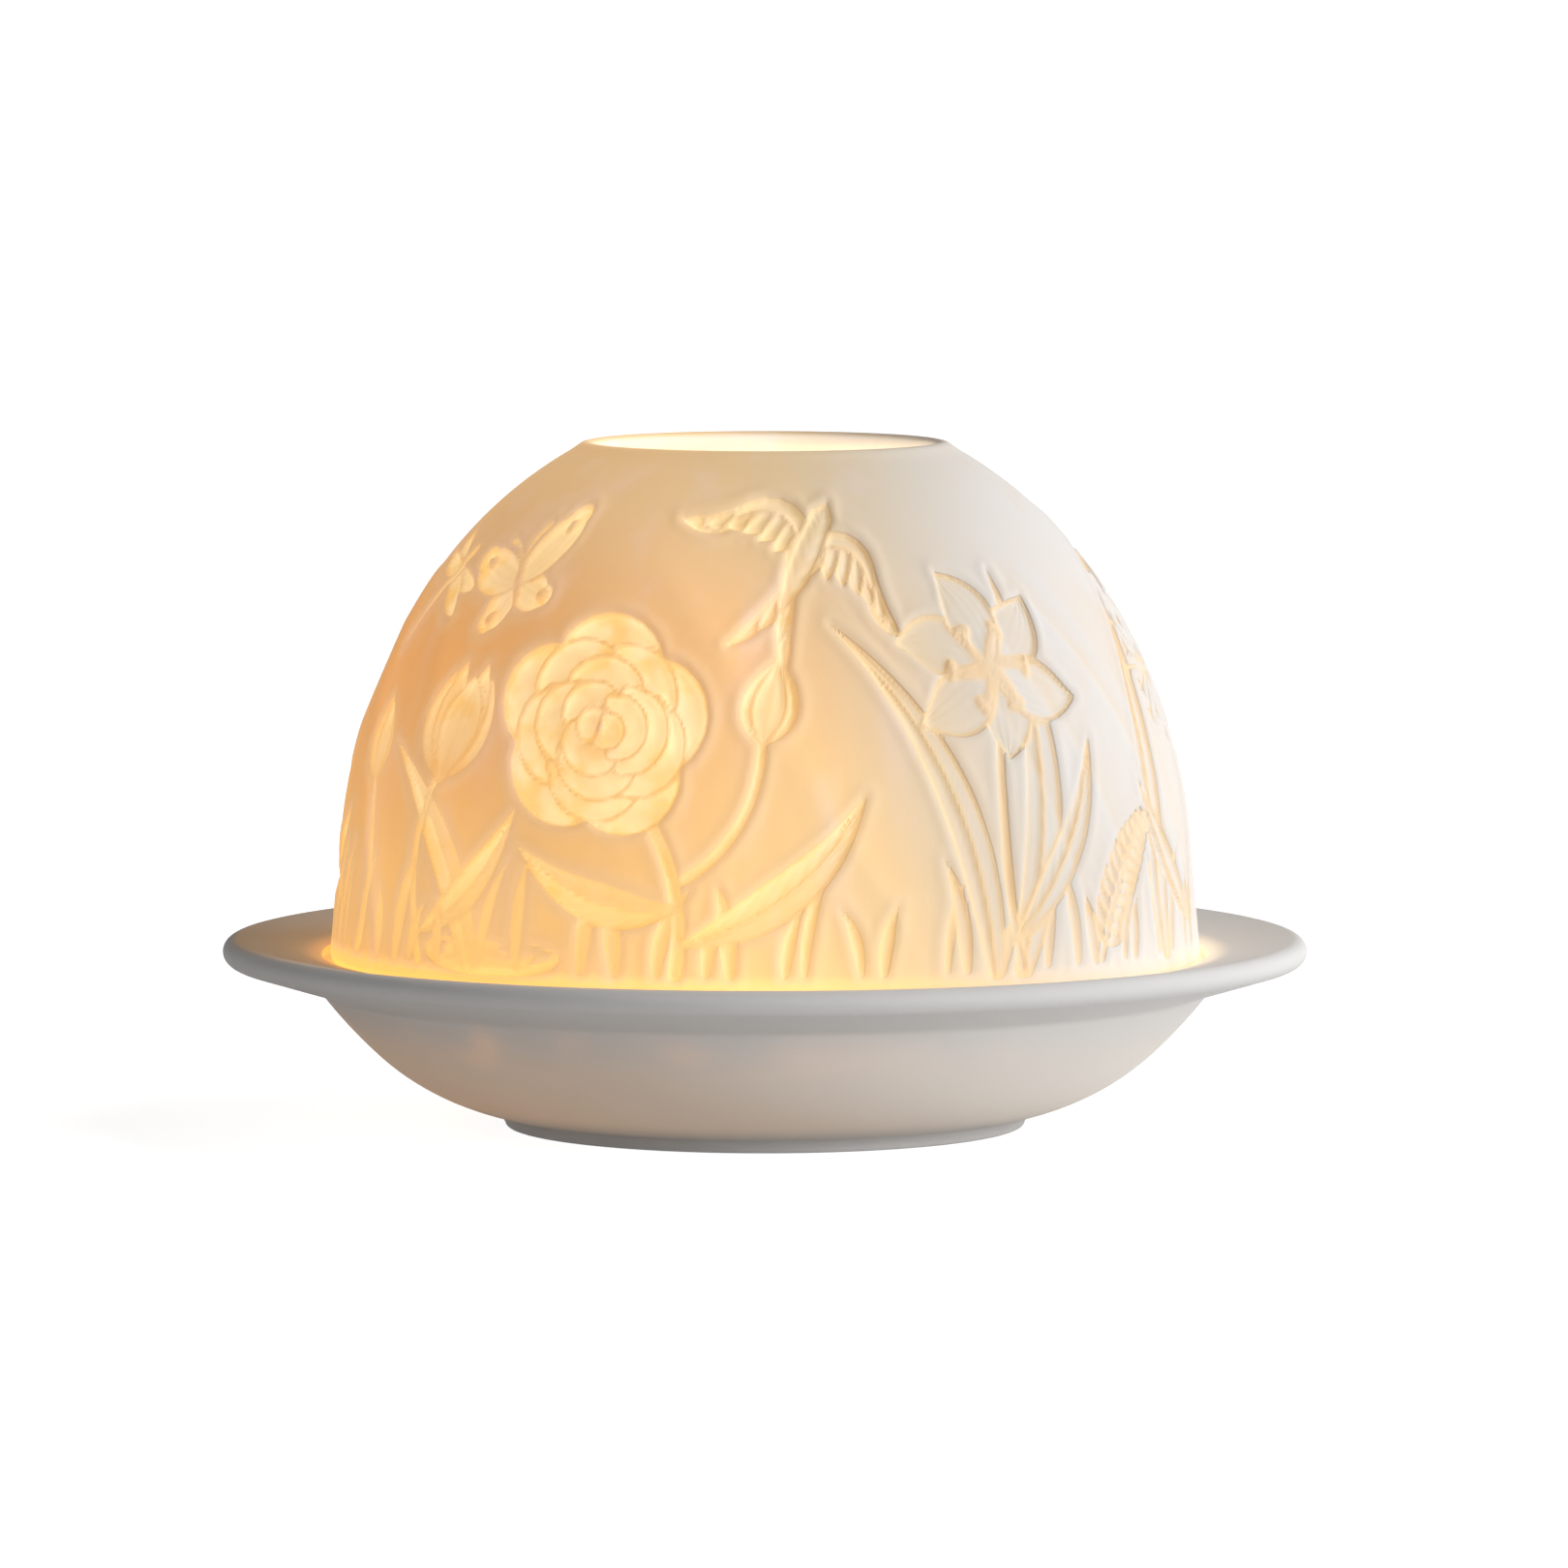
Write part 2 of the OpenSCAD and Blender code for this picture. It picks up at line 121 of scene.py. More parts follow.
# %% A material that is written down as sums
class Paint:
    """The graph of a material, or of the world when family says so."""

    def __init__(self, name, family=bpy.data.materials):
        self.made = family.new(name)
        self.made.use_nodes = True
        self.tree = self.made.node_tree
        self.tree.nodes.clear()

    def node(self, kind, settings=None, inputs=None, out=0):
        """Any node: its type, settings, its sockets' values or links, and the outputs wanted."""
        made = self.tree.nodes.new(kind)
        for key, setting in (settings or {}).items():
            setattr(made, key, setting)
        for key, value in (inputs or {}).items():
            if isinstance(value, Value):
                self.tree.links.new(value.socket, made.inputs[key])
            else:
                made.inputs[key].default_value = value
        if isinstance(out, tuple):
            return [Value(self, made.outputs[each]) for each in out]
        return Value(self, made.outputs[out])

    def mix(self, share, first, second):
        """Colours first and second mixed; share 0 gives the first."""
        settings = {"data_type": "RGBA", "clamp_factor": True}
        inputs = {0: share}
        for socket, colour in ((6, first), (7, second)):
            inputs[socket] = colour if isinstance(colour, Value) else (*colour, 1)
        return self.node("ShaderNodeMix", settings, inputs, out=2)

    def scale(self, colour, factor):
        settings = {"operation": "SCALE"}
        return self.node("ShaderNodeVectorMath", settings, {0: colour, "Scale": factor})

    def add_colours(self, first, second):
        return self.node("ShaderNodeVectorMath", {"operation": "ADD"}, {0: first, 1: second})

    def rise(self, value, low, high):
        """0 below low, 1 above high, with a soft slope between."""
        settings = {"interpolation_type": "SMOOTHSTEP"}
        return self.node("ShaderNodeMapRange", settings, {0: value, 1: low, 2: high})

    def here(self):
        """The point on the piece, in metres."""
        return self.node("ShaderNodeTexCoord", out="Object")

    def axes(self, here):
        """That point's distances along X, Y and Z."""
        return self.node("ShaderNodeSeparateXYZ", {}, {0: here}, out=("X", "Y", "Z"))

    def stretched(self, where, factors):
        """Coordinates squeezed by a factor each way, so that a pattern on them runs out long."""
        return self.node("ShaderNodeVectorMath", {"operation": "MULTIPLY"}, {0: where, 1: factors})

    def mark(self, name):
        """The number that the mesh's points carry under that name."""
        return self.node("ShaderNodeAttribute", {"attribute_name": name}, out="Fac")

    def noise(self, where, scale, detail=2.0, roughness=0.5):
        inputs = {"Vector": where, "Scale": scale, "Detail": detail, "Roughness": roughness}
        return self.node("ShaderNodeTexNoise", {}, inputs)

    def bump(self, height, strength=0.7):
        """Fine relief that is too small for the mesh; its height is in metres."""
        inputs = {"Height": height, "Strength": strength, "Distance": 1.0}
        return self.node("ShaderNodeBump", {}, inputs)

    def finish(self, **inputs):
        """The Principled shader that ends the graph; names use _ for a space."""
        named = {key.replace("_", " "): value for key, value in inputs.items()}
        if "Emission Color" in named:
            named["Emission Strength"] = 1.0
        return self.end(self.node("ShaderNodeBsdfPrincipled", {}, named))

    def end(self, shader, kind="ShaderNodeOutputMaterial"):
        """The output node, and with it the finished material or world."""
        self.node(kind, {}, {"Surface": shader}, out=())
        return self.made


print("shader helpers ready")

# %% [markdown]
# ## Turned forms
#
# Saucer, dome and candle are all round, so each is one outline turned about the upright axis.
# An outline is a list of (radius, height) pairs in millimetres, with its round stretches worked
# out as arcs. Resampling an outline to even steps gives a mesh of even faces, which takes a fine
# relief well and shades smoothly.

# %% Outlines
def point(centre, radius, angle):
    turn = math.radians(angle)
    return np.array([centre[0] + radius * math.cos(turn), centre[1] + radius * math.sin(turn)])


def arc(centre, radius, start, end, steps=40):
    turns = np.radians(np.linspace(start, end, steps))
    return np.array(centre) + radius * np.column_stack([np.cos(turns), np.sin(turns)])


def resample(outline, count):
    """The same outline with `count` points at even steps along it."""
    outline = np.asarray(outline, float)
    steps = np.hypot(*np.diff(outline, axis=0).T)
    along = np.concatenate([[0], np.cumsum(steps)])
    even = np.linspace(0, along[-1], count)
    return np.column_stack([np.interp(even, along, outline[:, axis]) for axis in (0, 1)])


def normals_of(outline):
    """Unit vectors to the right of the way the outline runs."""
    run = np.gradient(outline, axis=0)
    out = np.column_stack([run[:, 1], -run[:, 0]])
    return out / np.linalg.norm(out, axis=1, keepdims=True)


print("an arc of 90 degrees and radius 10 runs", round(float(
    np.hypot(*np.diff(arc((0, 0), 10, 0, 90), axis=0).T).sum()), 2), "mm")


# %% Turning an outline into a mesh
def turned_mesh(name, radius, height, columns, closed=False):
    """A mesh from grids of radius and height, one row per outline point, in millimetres."""
    rows = radius.shape[0]
    turn = np.linspace(0, 2 * math.pi, columns, endpoint=False)
    points = np.empty((rows, columns, 3))
    points[..., 0] = radius * np.sin(turn)
    points[..., 1] = -radius * np.cos(turn)
    points[..., 2] = height
    row_pairs = [(row, row + 1) for row in range(rows - 1)] + ([(rows - 1, 0)] if closed else [])
    lower, upper = np.array(row_pairs).T
    column = np.arange(columns)
    beside = (column + 1) % columns
    faces = np.stack([
        lower[:, None] * columns + column,
        lower[:, None] * columns + beside,
        upper[:, None] * columns + beside,
        upper[:, None] * columns + column,
    ], axis=-1).reshape(-1, 4)
    mesh = bpy.data.meshes.new(name)
    mesh.from_pydata((points.reshape(-1, 3) * MM).tolist(), [], faces.tolist())
    mesh.polygons.foreach_set("use_smooth", [True] * len(mesh.polygons))
    mesh.update()
    return mesh


def turned_piece(name, outline, columns, body, replaced, material, closed=False):
    radius = np.repeat(outline[:, :1], columns, axis=1)
    height = np.repeat(outline[:, 1:], columns, axis=1)
    mesh = turned_mesh(name, radius, height, columns, closed)
    return add_piece(mesh, body, replaced, material)


def add_piece(mesh, body, replaced, material):
    piece = bpy.data.objects.new(mesh.name, mesh)
    bpy.context.scene.collection.objects.link(piece)
    mesh.materials.append(material)
    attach(piece, body)
    if replaced:
        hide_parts(replaced)
    print(piece.name, "has", len(mesh.vertices), "points")
    return piece


# %% [markdown]
# ## The saucer's outline
#
# The saucer is a shallow bowl with a wide rim, thrown or cast in one piece. Its underside is two
# arcs that steepen towards the rim, and a small hollow corner turns the bowl into the rim. Inside,
# a ledge carries the dome, and a well with a shallow recess holds the candle. The frame gives the
# saucer's size; the radii repeat the construction's.

# %% The saucer's outline
FOOT_R, FOOT_IN_R, FOOT_TOP_R, FOOT_H, FOOT_CHAMFER = 28.8, 26.2, 29.5, 1.5, 0.4
FOOT_HOLLOW, FLOOR_Z, RECESS_R, RECESS_H = 1.2, 4.0, 19.5, 0.5
BOWL_FLOOR_R, STEP_EASE = 26.2, 0.25
AXIS_R = 0.01  # what stands for 0 on the axis, so that no face there has no area
STEP_R, LEDGE_Z, LEDGE_IN_R, LEDGE_EDGE_R = 49.0, 18.356, 45.2, 0.8
BOWL_LOW_R, BOWL_SLOPES = 27.6, (10.7, 42.4, 52.2)
RIM_SLOPES, RIM_EDGE_R, RIM_CORNER_R = (16.7, 10.0), 1.38, 2.0


def underside():
    """From the foot to the rim's edge: two arcs, the hollow corner and the rim's half round."""
    start_slope, mid_slope, end_slope = BOWL_SLOPES
    low_c = point((FOOT_TOP_R, FOOT_H), BOWL_LOW_R, start_slope + 90)
    mid = point(low_c, BOWL_LOW_R, mid_slope - 90)
    rise_of_sines = math.sin(math.radians(end_slope)) - math.sin(math.radians(mid_slope))
    high_r = (STEP_R - mid[0]) / rise_of_sines
    high_c = point(mid, high_r, mid_slope + 90)
    end = point(high_c, high_r, end_slope - 90)
    corner_c = point(end, RIM_CORNER_R, end_slope - 90)
    rim_start = point(corner_c, RIM_CORNER_R, RIM_SLOPES[0] + 90)
    slope = math.radians(RIM_SLOPES[0])
    outer_r = 1000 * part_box("saucer")[1].x
    run = outer_r - RIM_EDGE_R + RIM_EDGE_R * math.sin(slope) - rim_start[0]
    rim_end = point(rim_start, run / math.cos(slope), RIM_SLOPES[0])
    edge_c = point(rim_end, RIM_EDGE_R, RIM_SLOPES[0] + 90)
    return np.concatenate([
        arc(low_c, BOWL_LOW_R, start_slope - 90, mid_slope - 90),
        arc(high_c, high_r, mid_slope - 90, end_slope - 90)[1:],
        arc(corner_c, RIM_CORNER_R, end_slope + 90, RIM_SLOPES[0] + 90)[1:],
        arc(edge_c, RIM_EDGE_R, RIM_SLOPES[0] - 90, RIM_SLOPES[1] + 90),
    ])


def saucer_inside(rim_top):
    """From the rim's top edge over the step, ledge and well to the middle of the recess."""
    step_top = rim_top[1] - (rim_top[0] - STEP_R) * math.tan(math.radians(RIM_SLOPES[1]))
    edge_c = (LEDGE_IN_R + LEDGE_EDGE_R, LEDGE_Z - LEDGE_EDGE_R)
    width = LEDGE_IN_R - BOWL_FLOOR_R
    turn = 2 * math.degrees(math.atan((edge_c[1] - FLOOR_Z) / width))
    well_r = width / math.sin(math.radians(turn))
    well_c = (BOWL_FLOOR_R, FLOOR_Z + well_r)
    return np.concatenate([
        arc((STEP_R + STEP_EASE, step_top - STEP_EASE), STEP_EASE, 90 + RIM_SLOPES[1], 180, 8),
        arc((STEP_R - STEP_EASE, LEDGE_Z + STEP_EASE), STEP_EASE, 360, 270, 8),
        arc(edge_c, LEDGE_EDGE_R, 90, 180, 10),
        arc(well_c, well_r, turn - 90, -90)[1:],
        arc((RECESS_R + STEP_EASE, FLOOR_Z - STEP_EASE), STEP_EASE, 90, 180, 6),
        [(radius, FLOOR_Z - RECESS_H) for radius in (RECESS_R, RECESS_R / 2, AXIS_R)],
    ])


outside = underside()
upper_side = saucer_inside(outside[-1])
saucer_outline = np.concatenate([
    [(AXIS_R, FOOT_HOLLOW), (FOOT_IN_R / 2, FOOT_HOLLOW)],
    arc((FOOT_IN_R - STEP_EASE, FOOT_HOLLOW - STEP_EASE), STEP_EASE, 90, 0, 6),
    arc((FOOT_IN_R + STEP_EASE, STEP_EASE), STEP_EASE, 180, 270, 6),
    arc((FOOT_R - FOOT_CHAMFER, FOOT_CHAMFER), FOOT_CHAMFER, 270, 360, 8),
    outside,
    upper_side,
])
print("saucer's outer radius", round(float(outside[:, 0].max()), 2), "mm, rim top",
      round(float(outside[:, 1].max()), 2), "mm")

# %% [markdown]
# ## The dome's outline
#
# The dome's wall leans in a little, then curves over in two arcs to an opening with a rounded
# lip. The wall keeps one thickness, so the inner face follows the outer one at 2.2 mm. The
# outer face is kept apart from the rest, because only it carries the relief.

# %% The dome's outline
WALL = 2.2
DOME_FOOT_R, LEAN, STRAIGHT = 48.2, 4.8, 14.0
SIDE_R, SHOULDER_R, SHOULDER_AT, OPENING_R = 58.4, 46.4, 37.0, 18.6
FOOT_EASE = 0.9

side_start = point((DOME_FOOT_R, LEDGE_Z), STRAIGHT / math.cos(math.radians(LEAN)), 90 + LEAN)
side_c = point(side_start, SIDE_R, LEAN + 180)
shoulder_c = point(point(side_c, SIDE_R, SHOULDER_AT), SHOULDER_R, SHOULDER_AT + 180)
lip_r = WALL / 2
lip_at = math.degrees(math.acos((OPENING_R + lip_r - shoulder_c[0]) / (SHOULDER_R - lip_r)))
lip_c = point(shoulder_c, SHOULDER_R - lip_r, lip_at)


def dome_face(depth):
    """The wall's face at one depth below its outside, from the foot to the lip."""
    lean = math.radians(LEAN)
    foot = (DOME_FOOT_R - depth / math.cos(lean) - FOOT_EASE * math.tan(lean), LEDGE_Z + FOOT_EASE)
    return np.concatenate([
        [foot],
        arc(side_c, SIDE_R - depth, LEAN, SHOULDER_AT, 80),
        arc(shoulder_c, SHOULDER_R - depth, SHOULDER_AT, lip_at, 60)[1:],
    ])


OUTER_ROWS, INNER_ROWS, LIP_ROWS, COLUMNS = 130, 8, 5, 672
outer_face = resample(dome_face(0), OUTER_ROWS)
lip = arc(lip_c, lip_r, lip_at, lip_at + 180, LIP_ROWS + 2)[1:-1]
inner_face = resample(dome_face(WALL)[::-1], INNER_ROWS)
foot_edge = [
    (DOME_FOOT_R - WALL + 0.4, LEDGE_Z),
    (DOME_FOOT_R - 0.97, LEDGE_Z),
    (DOME_FOOT_R - 0.35, LEDGE_Z + 0.25),
]
dome_outline = np.concatenate([outer_face, lip, inner_face, foot_edge])

# %% [markdown]
# ## Drawing in porcelain
#
# The picture is cut into the outside of the wall. Its maker draws on a flat sheet that is held
# against the dome, so every motif here is drawn on such a sheet too: `facing` says which way
# round the dome it is held, and places on it are millimetres across and up from the foot.
#
# One kind of stroke is enough for plants and birds: a blade, which is a curved middle line with a
# width that swells and tapers. A carver could displace the wall with a height image, but a mesh
# that holds distances instead of heights keeps every outline crisp: each point remembers how far
# it lies inside the nearest stroke and how far from the nearest outline that shows, and both
# the cutting and the paint work from those.

# %% The sheet that the relief is drawn on
FAR = 9.0  # millimetres that stand for "no stroke anywhere near"
CUT_RANGE = (0.05, 1.1)


class Relief:
    """For each point of the wall: how far it lies inside a stroke and from a line, the cut's
    share of the full depth, the ribs' phase, and the share of a broad thinning."""

    def __init__(self, outline, columns):
        shape = (len(outline), columns)
        self.radius = outline[:, 0][:, None]
        self.height = np.repeat(outline[:, 1][:, None] - LEDGE_Z, columns, axis=1)
        self.turn = np.linspace(0, 2 * math.pi, columns, endpoint=False)[None, :]
        self.inside = np.full(shape, -FAR)
        self.line = np.full(shape, FAR)
        self.depth = np.zeros(shape)
        self.vein = np.zeros(shape)
        self.wash = np.zeros(shape)
        self.strokes = 0

    def near(self, facing, line, reach):
        """The points that a stroke can touch, and where they lie on the sheet."""
        away = self.turn - math.radians(facing)
        across = self.radius * np.sin(away)
        low, high = line.min(0) - reach, line.max(0) + reach
        found = (np.cos(away) > 0.2) & (across > low[0]) & (across < high[0])
        found = found & (self.height > low[1]) & (self.height < high[1])
        return found, np.column_stack([across[found], self.height[found]])

    def measured(self, facing, line, widths, reach):
        """The points near a stroke: how far each lies from its middle line, on which side, at
        which share of its length, and the stroke's half-width there."""
        line = np.asarray(line, float)
        share = np.linspace(0, 1, len(line))
        half = np.interp(share, np.linspace(0, 1, len(widths)), widths)
        near, points = self.near(facing, line, half.max() + reach)
        gap, side, along = nearest_on(line, points)
        return near, gap, side, along, np.interp(along, share, half)

    def blade(self, facing, line, widths, depth, crown, veins=(0, 0, 0), fold=0.0, tilt=0.0):
        """One stroke: its middle line and its half-widths run from base to tip.

        depth is the cut at base and tip, crown how much less the middle is cut than the rim, fold
        how much deeper one half lies beyond a crease, tilt the same without one. veins counts the
        fine ribs that cross it, that run along it, and how far the crossing ones lean.
        """
        near, gap, side, along, width = self.measured(facing, line, widths, 3.0)
        over = gap - width
        edgewise = np.clip(gap / np.maximum(width, 0.05), 0, 1)
        across = np.clip(side / np.maximum(width, 0.3), -1, 1)
        cut = depth[0] + (depth[1] - depth[0]) * along - crown * (1 - edgewise ** 2)
        cut = cut + tilt * across + fold * np.clip(side / 0.35, -1, 1)
        border = np.abs(over)
        if fold:
            border = np.where(over < 0, np.minimum(border, np.abs(side) + 0.12), border)
        claimed = over < 0
        beside = (self.inside[near] < 0) & (over < 0.8) & (-over > self.inside[near])
        crossing, running, lean = veins
        ribs = crossing * along + running * across - lean * edgewise
        for grid, new in ((self.depth, np.clip(cut, *CUT_RANGE)), (self.vein, ribs)):
            grid[near] = np.where(claimed | beside, new, grid[near])
        self.line[near] = np.where(claimed, border, np.minimum(self.line[near], border))
        self.inside[near] = np.maximum(self.inside[near], -over)
        self.strokes += 1

    def sweep(self, facing, line, widths, strength):
        """A broad shallow thinning: crisp along its left side, fading away towards its right."""
        near, gap, side, along, width = self.measured(facing, line, widths, 1.0)
        across = side / np.maximum(width, 0.3)
        crisp = np.clip((1 - across) * 4, 0, 1)
        fading = np.clip((across + 1) / 2, 0, 1) ** 1.5
        ends = np.clip(along * 8, 0, 1) * np.clip((1 - along) * 4, 0, 1)
        here = strength * crisp * fading * ends * (gap < 1.05 * width)
        self.wash[near] = np.maximum(self.wash[near], here)
        self.strokes += 1


def nearest_on(line, points):
    """For each point: its distance from the line, the signed side, and its share along it."""
    start, run = line[:-1], np.diff(line, axis=0)
    length = np.maximum((run ** 2).sum(1), 1e-12)
    away = points[:, None, :] - start[None]
    share = np.clip((away * run[None]).sum(2) / length, 0, 1)
    gap = away - share[..., None] * run[None]
    distance = np.hypot(gap[..., 0], gap[..., 1])
    best = distance.argmin(1)
    pick = np.arange(len(points))
    turned = run[best, 0] * away[pick, best, 1] - run[best, 1] * away[pick, best, 0]
    along = (best + share[pick, best]) / len(run)
    return distance[pick, best], turned / np.sqrt(length[best]), along


def curve(start, bend, end, steps=16):
    """A smooth line from start to end that is drawn towards bend."""
    start, bend, end = map(np.array, (start, bend, end))
    t = np.linspace(0, 1, steps)[:, None]
    return (1 - t) ** 2 * start + 2 * t * (1 - t) * bend + t ** 2 * end


relief = Relief(outer_face, COLUMNS)
print("the relief has", relief.depth.size, "points, one about every",
      round(2 * math.pi * DOME_FOOT_R / COLUMNS, 2), "mm")

# %% [markdown]
# ## Leaves, stems and petals
#
# Each small form is one stroke with its own profile. Petals are ribbed along their length and cut
# deepest at the tip, where real ones are thinnest. Leaves are ribbed across and creased along the
# middle, and one half lies deeper than the other, which is how a carver shows a leaf that folds.
# Leaves, reeds, stems and grass differ only in numbers, so one function makes all four.

# %% The single strokes
PETAL = (0.32, 0.62, 0.88, 1.0, 0.97, 0.78, 0.45, 0.04)
ROUND_PETAL = (0.3, 0.72, 0.95, 1.0, 1.0, 0.9, 0.6)
LEAF = (0.12, 0.55, 0.88, 1.0, 0.92, 0.7, 0.4, 0.04)
REED = (0.55, 0.85, 1.0, 1.0, 0.85, 0.6, 0.32, 0.04)
FEATHER = (0.5, 0.9, 1.0, 0.95, 0.75, 0.15)


def shaped(profile, half):
    return [half * share for share in profile]


def polar(centre, angle, radius):
    turn = math.radians(angle)
    return (centre[0] + radius * math.cos(turn), centre[1] + radius * math.sin(turn))


def petal(facing, centre, angle, start, length, half, sweep):
    """A petal that leaves centre at an angle; sweep bends it sideways."""
    base = polar(centre, angle, start)
    bend = polar(centre, angle - sweep, start + 0.55 * length)
    tip = polar(centre, angle + sweep, start + length)
    relief.blade(facing, curve(base, bend, tip), shaped(PETAL, half), (0.42, 1.0), 0.22,
                 (0, 2.6, 0.5), tilt=0.12 if sweep > 0 else -0.12)


def stroke(profile, steps, *cut):
    """A function that draws one kind of stroke along a bent line, with its own way of cutting."""
    def draw(facing, start, bend, end, half=1):
        relief.blade(facing, curve(start, bend, end, steps), shaped(profile, half), *cut)
    return draw


leaf = stroke(LEAF, 24, (0.55, 0.85), 0.05, (9, 0, 2.0), 0.2)
reed = stroke(REED, 30, (0.5, 0.9), 0.1, (0, 1.6, 0), 0.16)
stem = stroke((1, 0.85, 0.7), 20, (0.7, 0.7), 0.1)
grass = stroke(REED, 20, (0.45, 0.7), 0.1)
print("kinds of stroke: petal, leaf, reed, stem and grass")

# %% [markdown]
# ## Flowers
#
# A flower is a stack of petals, the far ones first. A stroke laid over another hides it and leaves
# a thin wall standing along its outline, so petals read as lying one above the other.

# %% Lily, rose, tulip and bud
LILY_SQUASH = 0.85
stamen = stroke((0.3, 0.24, 0.22), 16, (0.3, 0.15), 0)
bud_petal = stroke(LEAF, 16, (0.45, 0.95), 0.12, (0, 1.4, 0))


def squash_of(angle):
    """How much a lily is foreshortened that way, because it is tilted."""
    turn = math.radians(angle)
    return math.hypot(math.cos(turn), LILY_SQUASH * math.sin(turn))


def lily(facing, centre, size, turn):
    """Six pointed petals, the three behind first, and stamens that stand up from the middle."""
    for ring in (1, 0):
        for k in range(3):
            angle = turn + 120 * k + 60 * ring
            length = size * squash_of(angle) * (0.92 if ring else 1.0)
            petal(facing, centre, angle, 0.05 * size, length, 0.29 * size, (9, -7, 6)[k])
    for k in range(6):
        angle = turn + 60 * k + 24
        tip = polar(centre, angle, 0.44 * size * squash_of(angle))
        stamen(facing, centre, polar(centre, angle + 22, 0.24 * size), tip)
        anther = [polar(tip, angle + 70, 0.5), polar(tip, angle + 250, 0.5)]
        relief.blade(facing, anther, [0.34, 0.42, 0.34], (0.1, 0.1), 0)


CRESCENT = (0.45, 0.85, 1.0, 1.0, 0.85, 0.45)
ROSE_RINGS = (  # reach, petals in the ring, degrees from a petal's middle to its end, half-width
    (0.76, 5, 40, 0.24),
    (0.6, 5, 44, 0.23),
    (0.44, 4, 52, 0.2),
    (0.28, 3, 62, 0.16),
    (0.12, 2, 80, 0.11),
)


def rose(facing, centre, size, turn):
    """Crescent petals, laid from the outermost ring in to the closed heart."""
    for ring, (reach, count, span, half) in enumerate(ROSE_RINGS):
        for k in range(count):
            middle = turn + 360 * k / count + 37 * ring
            line = []
            for share in np.linspace(-1, 1, 12):
                bulge = 1 + 0.06 * math.cos(3 * share)
                line.append(polar(centre, middle + share * span, size * reach * bulge))
            relief.blade(facing, line, shaped(CRESCENT, half * size), (0.72, 0.88), 0.08,
                         (3, 0, 0.8), tilt=-0.3)


TULIP_PETALS = (  # degrees from upright, reach, half-width
    (-30, 0.94, 0.2), (31, 0.92, 0.2), (-14, 1.02, 0.2), (16, 1.0, 0.2), (-3, 0.88, 0.27),
)


def tulip(facing, base, angle, size):
    """A cup of petals seen from the side: back ones first, the front one last."""
    for spread, reach, half in TULIP_PETALS:
        line = curve(base, polar(base, angle + 1.6 * spread, 0.52 * size),
                     polar(base, angle + 0.55 * spread, reach * size))
        relief.blade(facing, line, shaped(PETAL, half * size), (0.4, 0.98), 0.15, (0, 2.2, 0.6),
                     tilt=0.1 if spread < 0 else -0.1)


def bud(facing, base, angle, size):
    """Three closed petals."""
    for spread in (-16, 16, 0):
        bud_petal(facing, base, polar(base, angle + 2 * spread, 0.5 * size),
                  polar(base, angle, size), 0.21 * size)


# %% [markdown]
# ## Small things that fill a garden
#
# Ferns, seed heads and ripples give the fine scale next to the large flowers, and a bird, some
# butterflies and a dragonfly give it life.

# %% Fern, seed head and ripples
frond = stroke(LEAF, 8, (0.6, 0.8), 0.05)


def fern(facing, start, bend, end, pairs, size):
    """Pairs of small leaves along a thin stem, longest below the middle."""
    line = curve(start, bend, end, pairs + 4)
    run = np.diff(line, axis=0)
    for k in range(1, pairs + 2):
        way = math.degrees(math.atan2(run[k, 1], run[k, 0]))
        reach = size * math.sin(math.pi * (0.28 + 0.66 * k / (pairs + 2)))
        for side in (-1, 1):
            frond(facing, line[k], polar(line[k], way + side * 62, 0.6 * reach),
                  polar(line[k], way + side * 46, reach), 0.17 * size)
    stem(facing, start, bend, end, 0.35)


SEED_RAYS = 15


def seed_head(facing, centre, size):
    """A globe of fine rays that end in small tufts."""
    for k in range(SEED_RAYS):
        angle = 360 * k / SEED_RAYS + 8
        tip = polar(centre, angle, size * (1.0 if k % 2 else 0.74))
        relief.blade(facing, [polar(centre, angle, 0.8), tip], [0.24, 0.24], (0.7, 0.7), 0)
        for spread in (-50, 0, 50):
            tuft = [tip, polar(tip, angle + spread, 1.3)]
            relief.blade(facing, tuft, [0.22, 0.22], (0.9, 0.9), 0)
    heart = [centre, (centre[0], centre[1] + 0.2)]
    relief.blade(facing, heart, [0.95, 0.95], (0.5, 0.5), 0.3)


RIPPLES = 3


def ripples(facing, centre, size):
    """Flat rings on water, open at one side."""
    for k in range(RIPPLES):
        reach = size * (k + 1) / RIPPLES
        line = [(centre[0] + reach * math.cos(a), centre[1] + 0.2 * reach * math.sin(a))
                for a in np.radians(np.linspace(25 + 40 * k, 330 + 40 * k, 34))]
        relief.blade(facing, line, [0.1, 0.5, 0.6, 0.5, 0.1], (0.55, 0.7), 0.1)


# %% Bird, butterfly and dragonfly
flight_feather = stroke(FEATHER, 12, (0.5, 1.0), 0.1, (0, 1.4, 0), 0, 0.16)
broad_wing = stroke(ROUND_PETAL, 16, (0.6, 1.0), 0.1, (0, 2.4, 0))
narrow_wing = stroke(FEATHER, 16, (0.7, 0.95), 0.1, (7, 1.0, 0.5))
feeler = stroke((0.24, 0.2, 0.3), 16, (0.6, 0.8), 0)


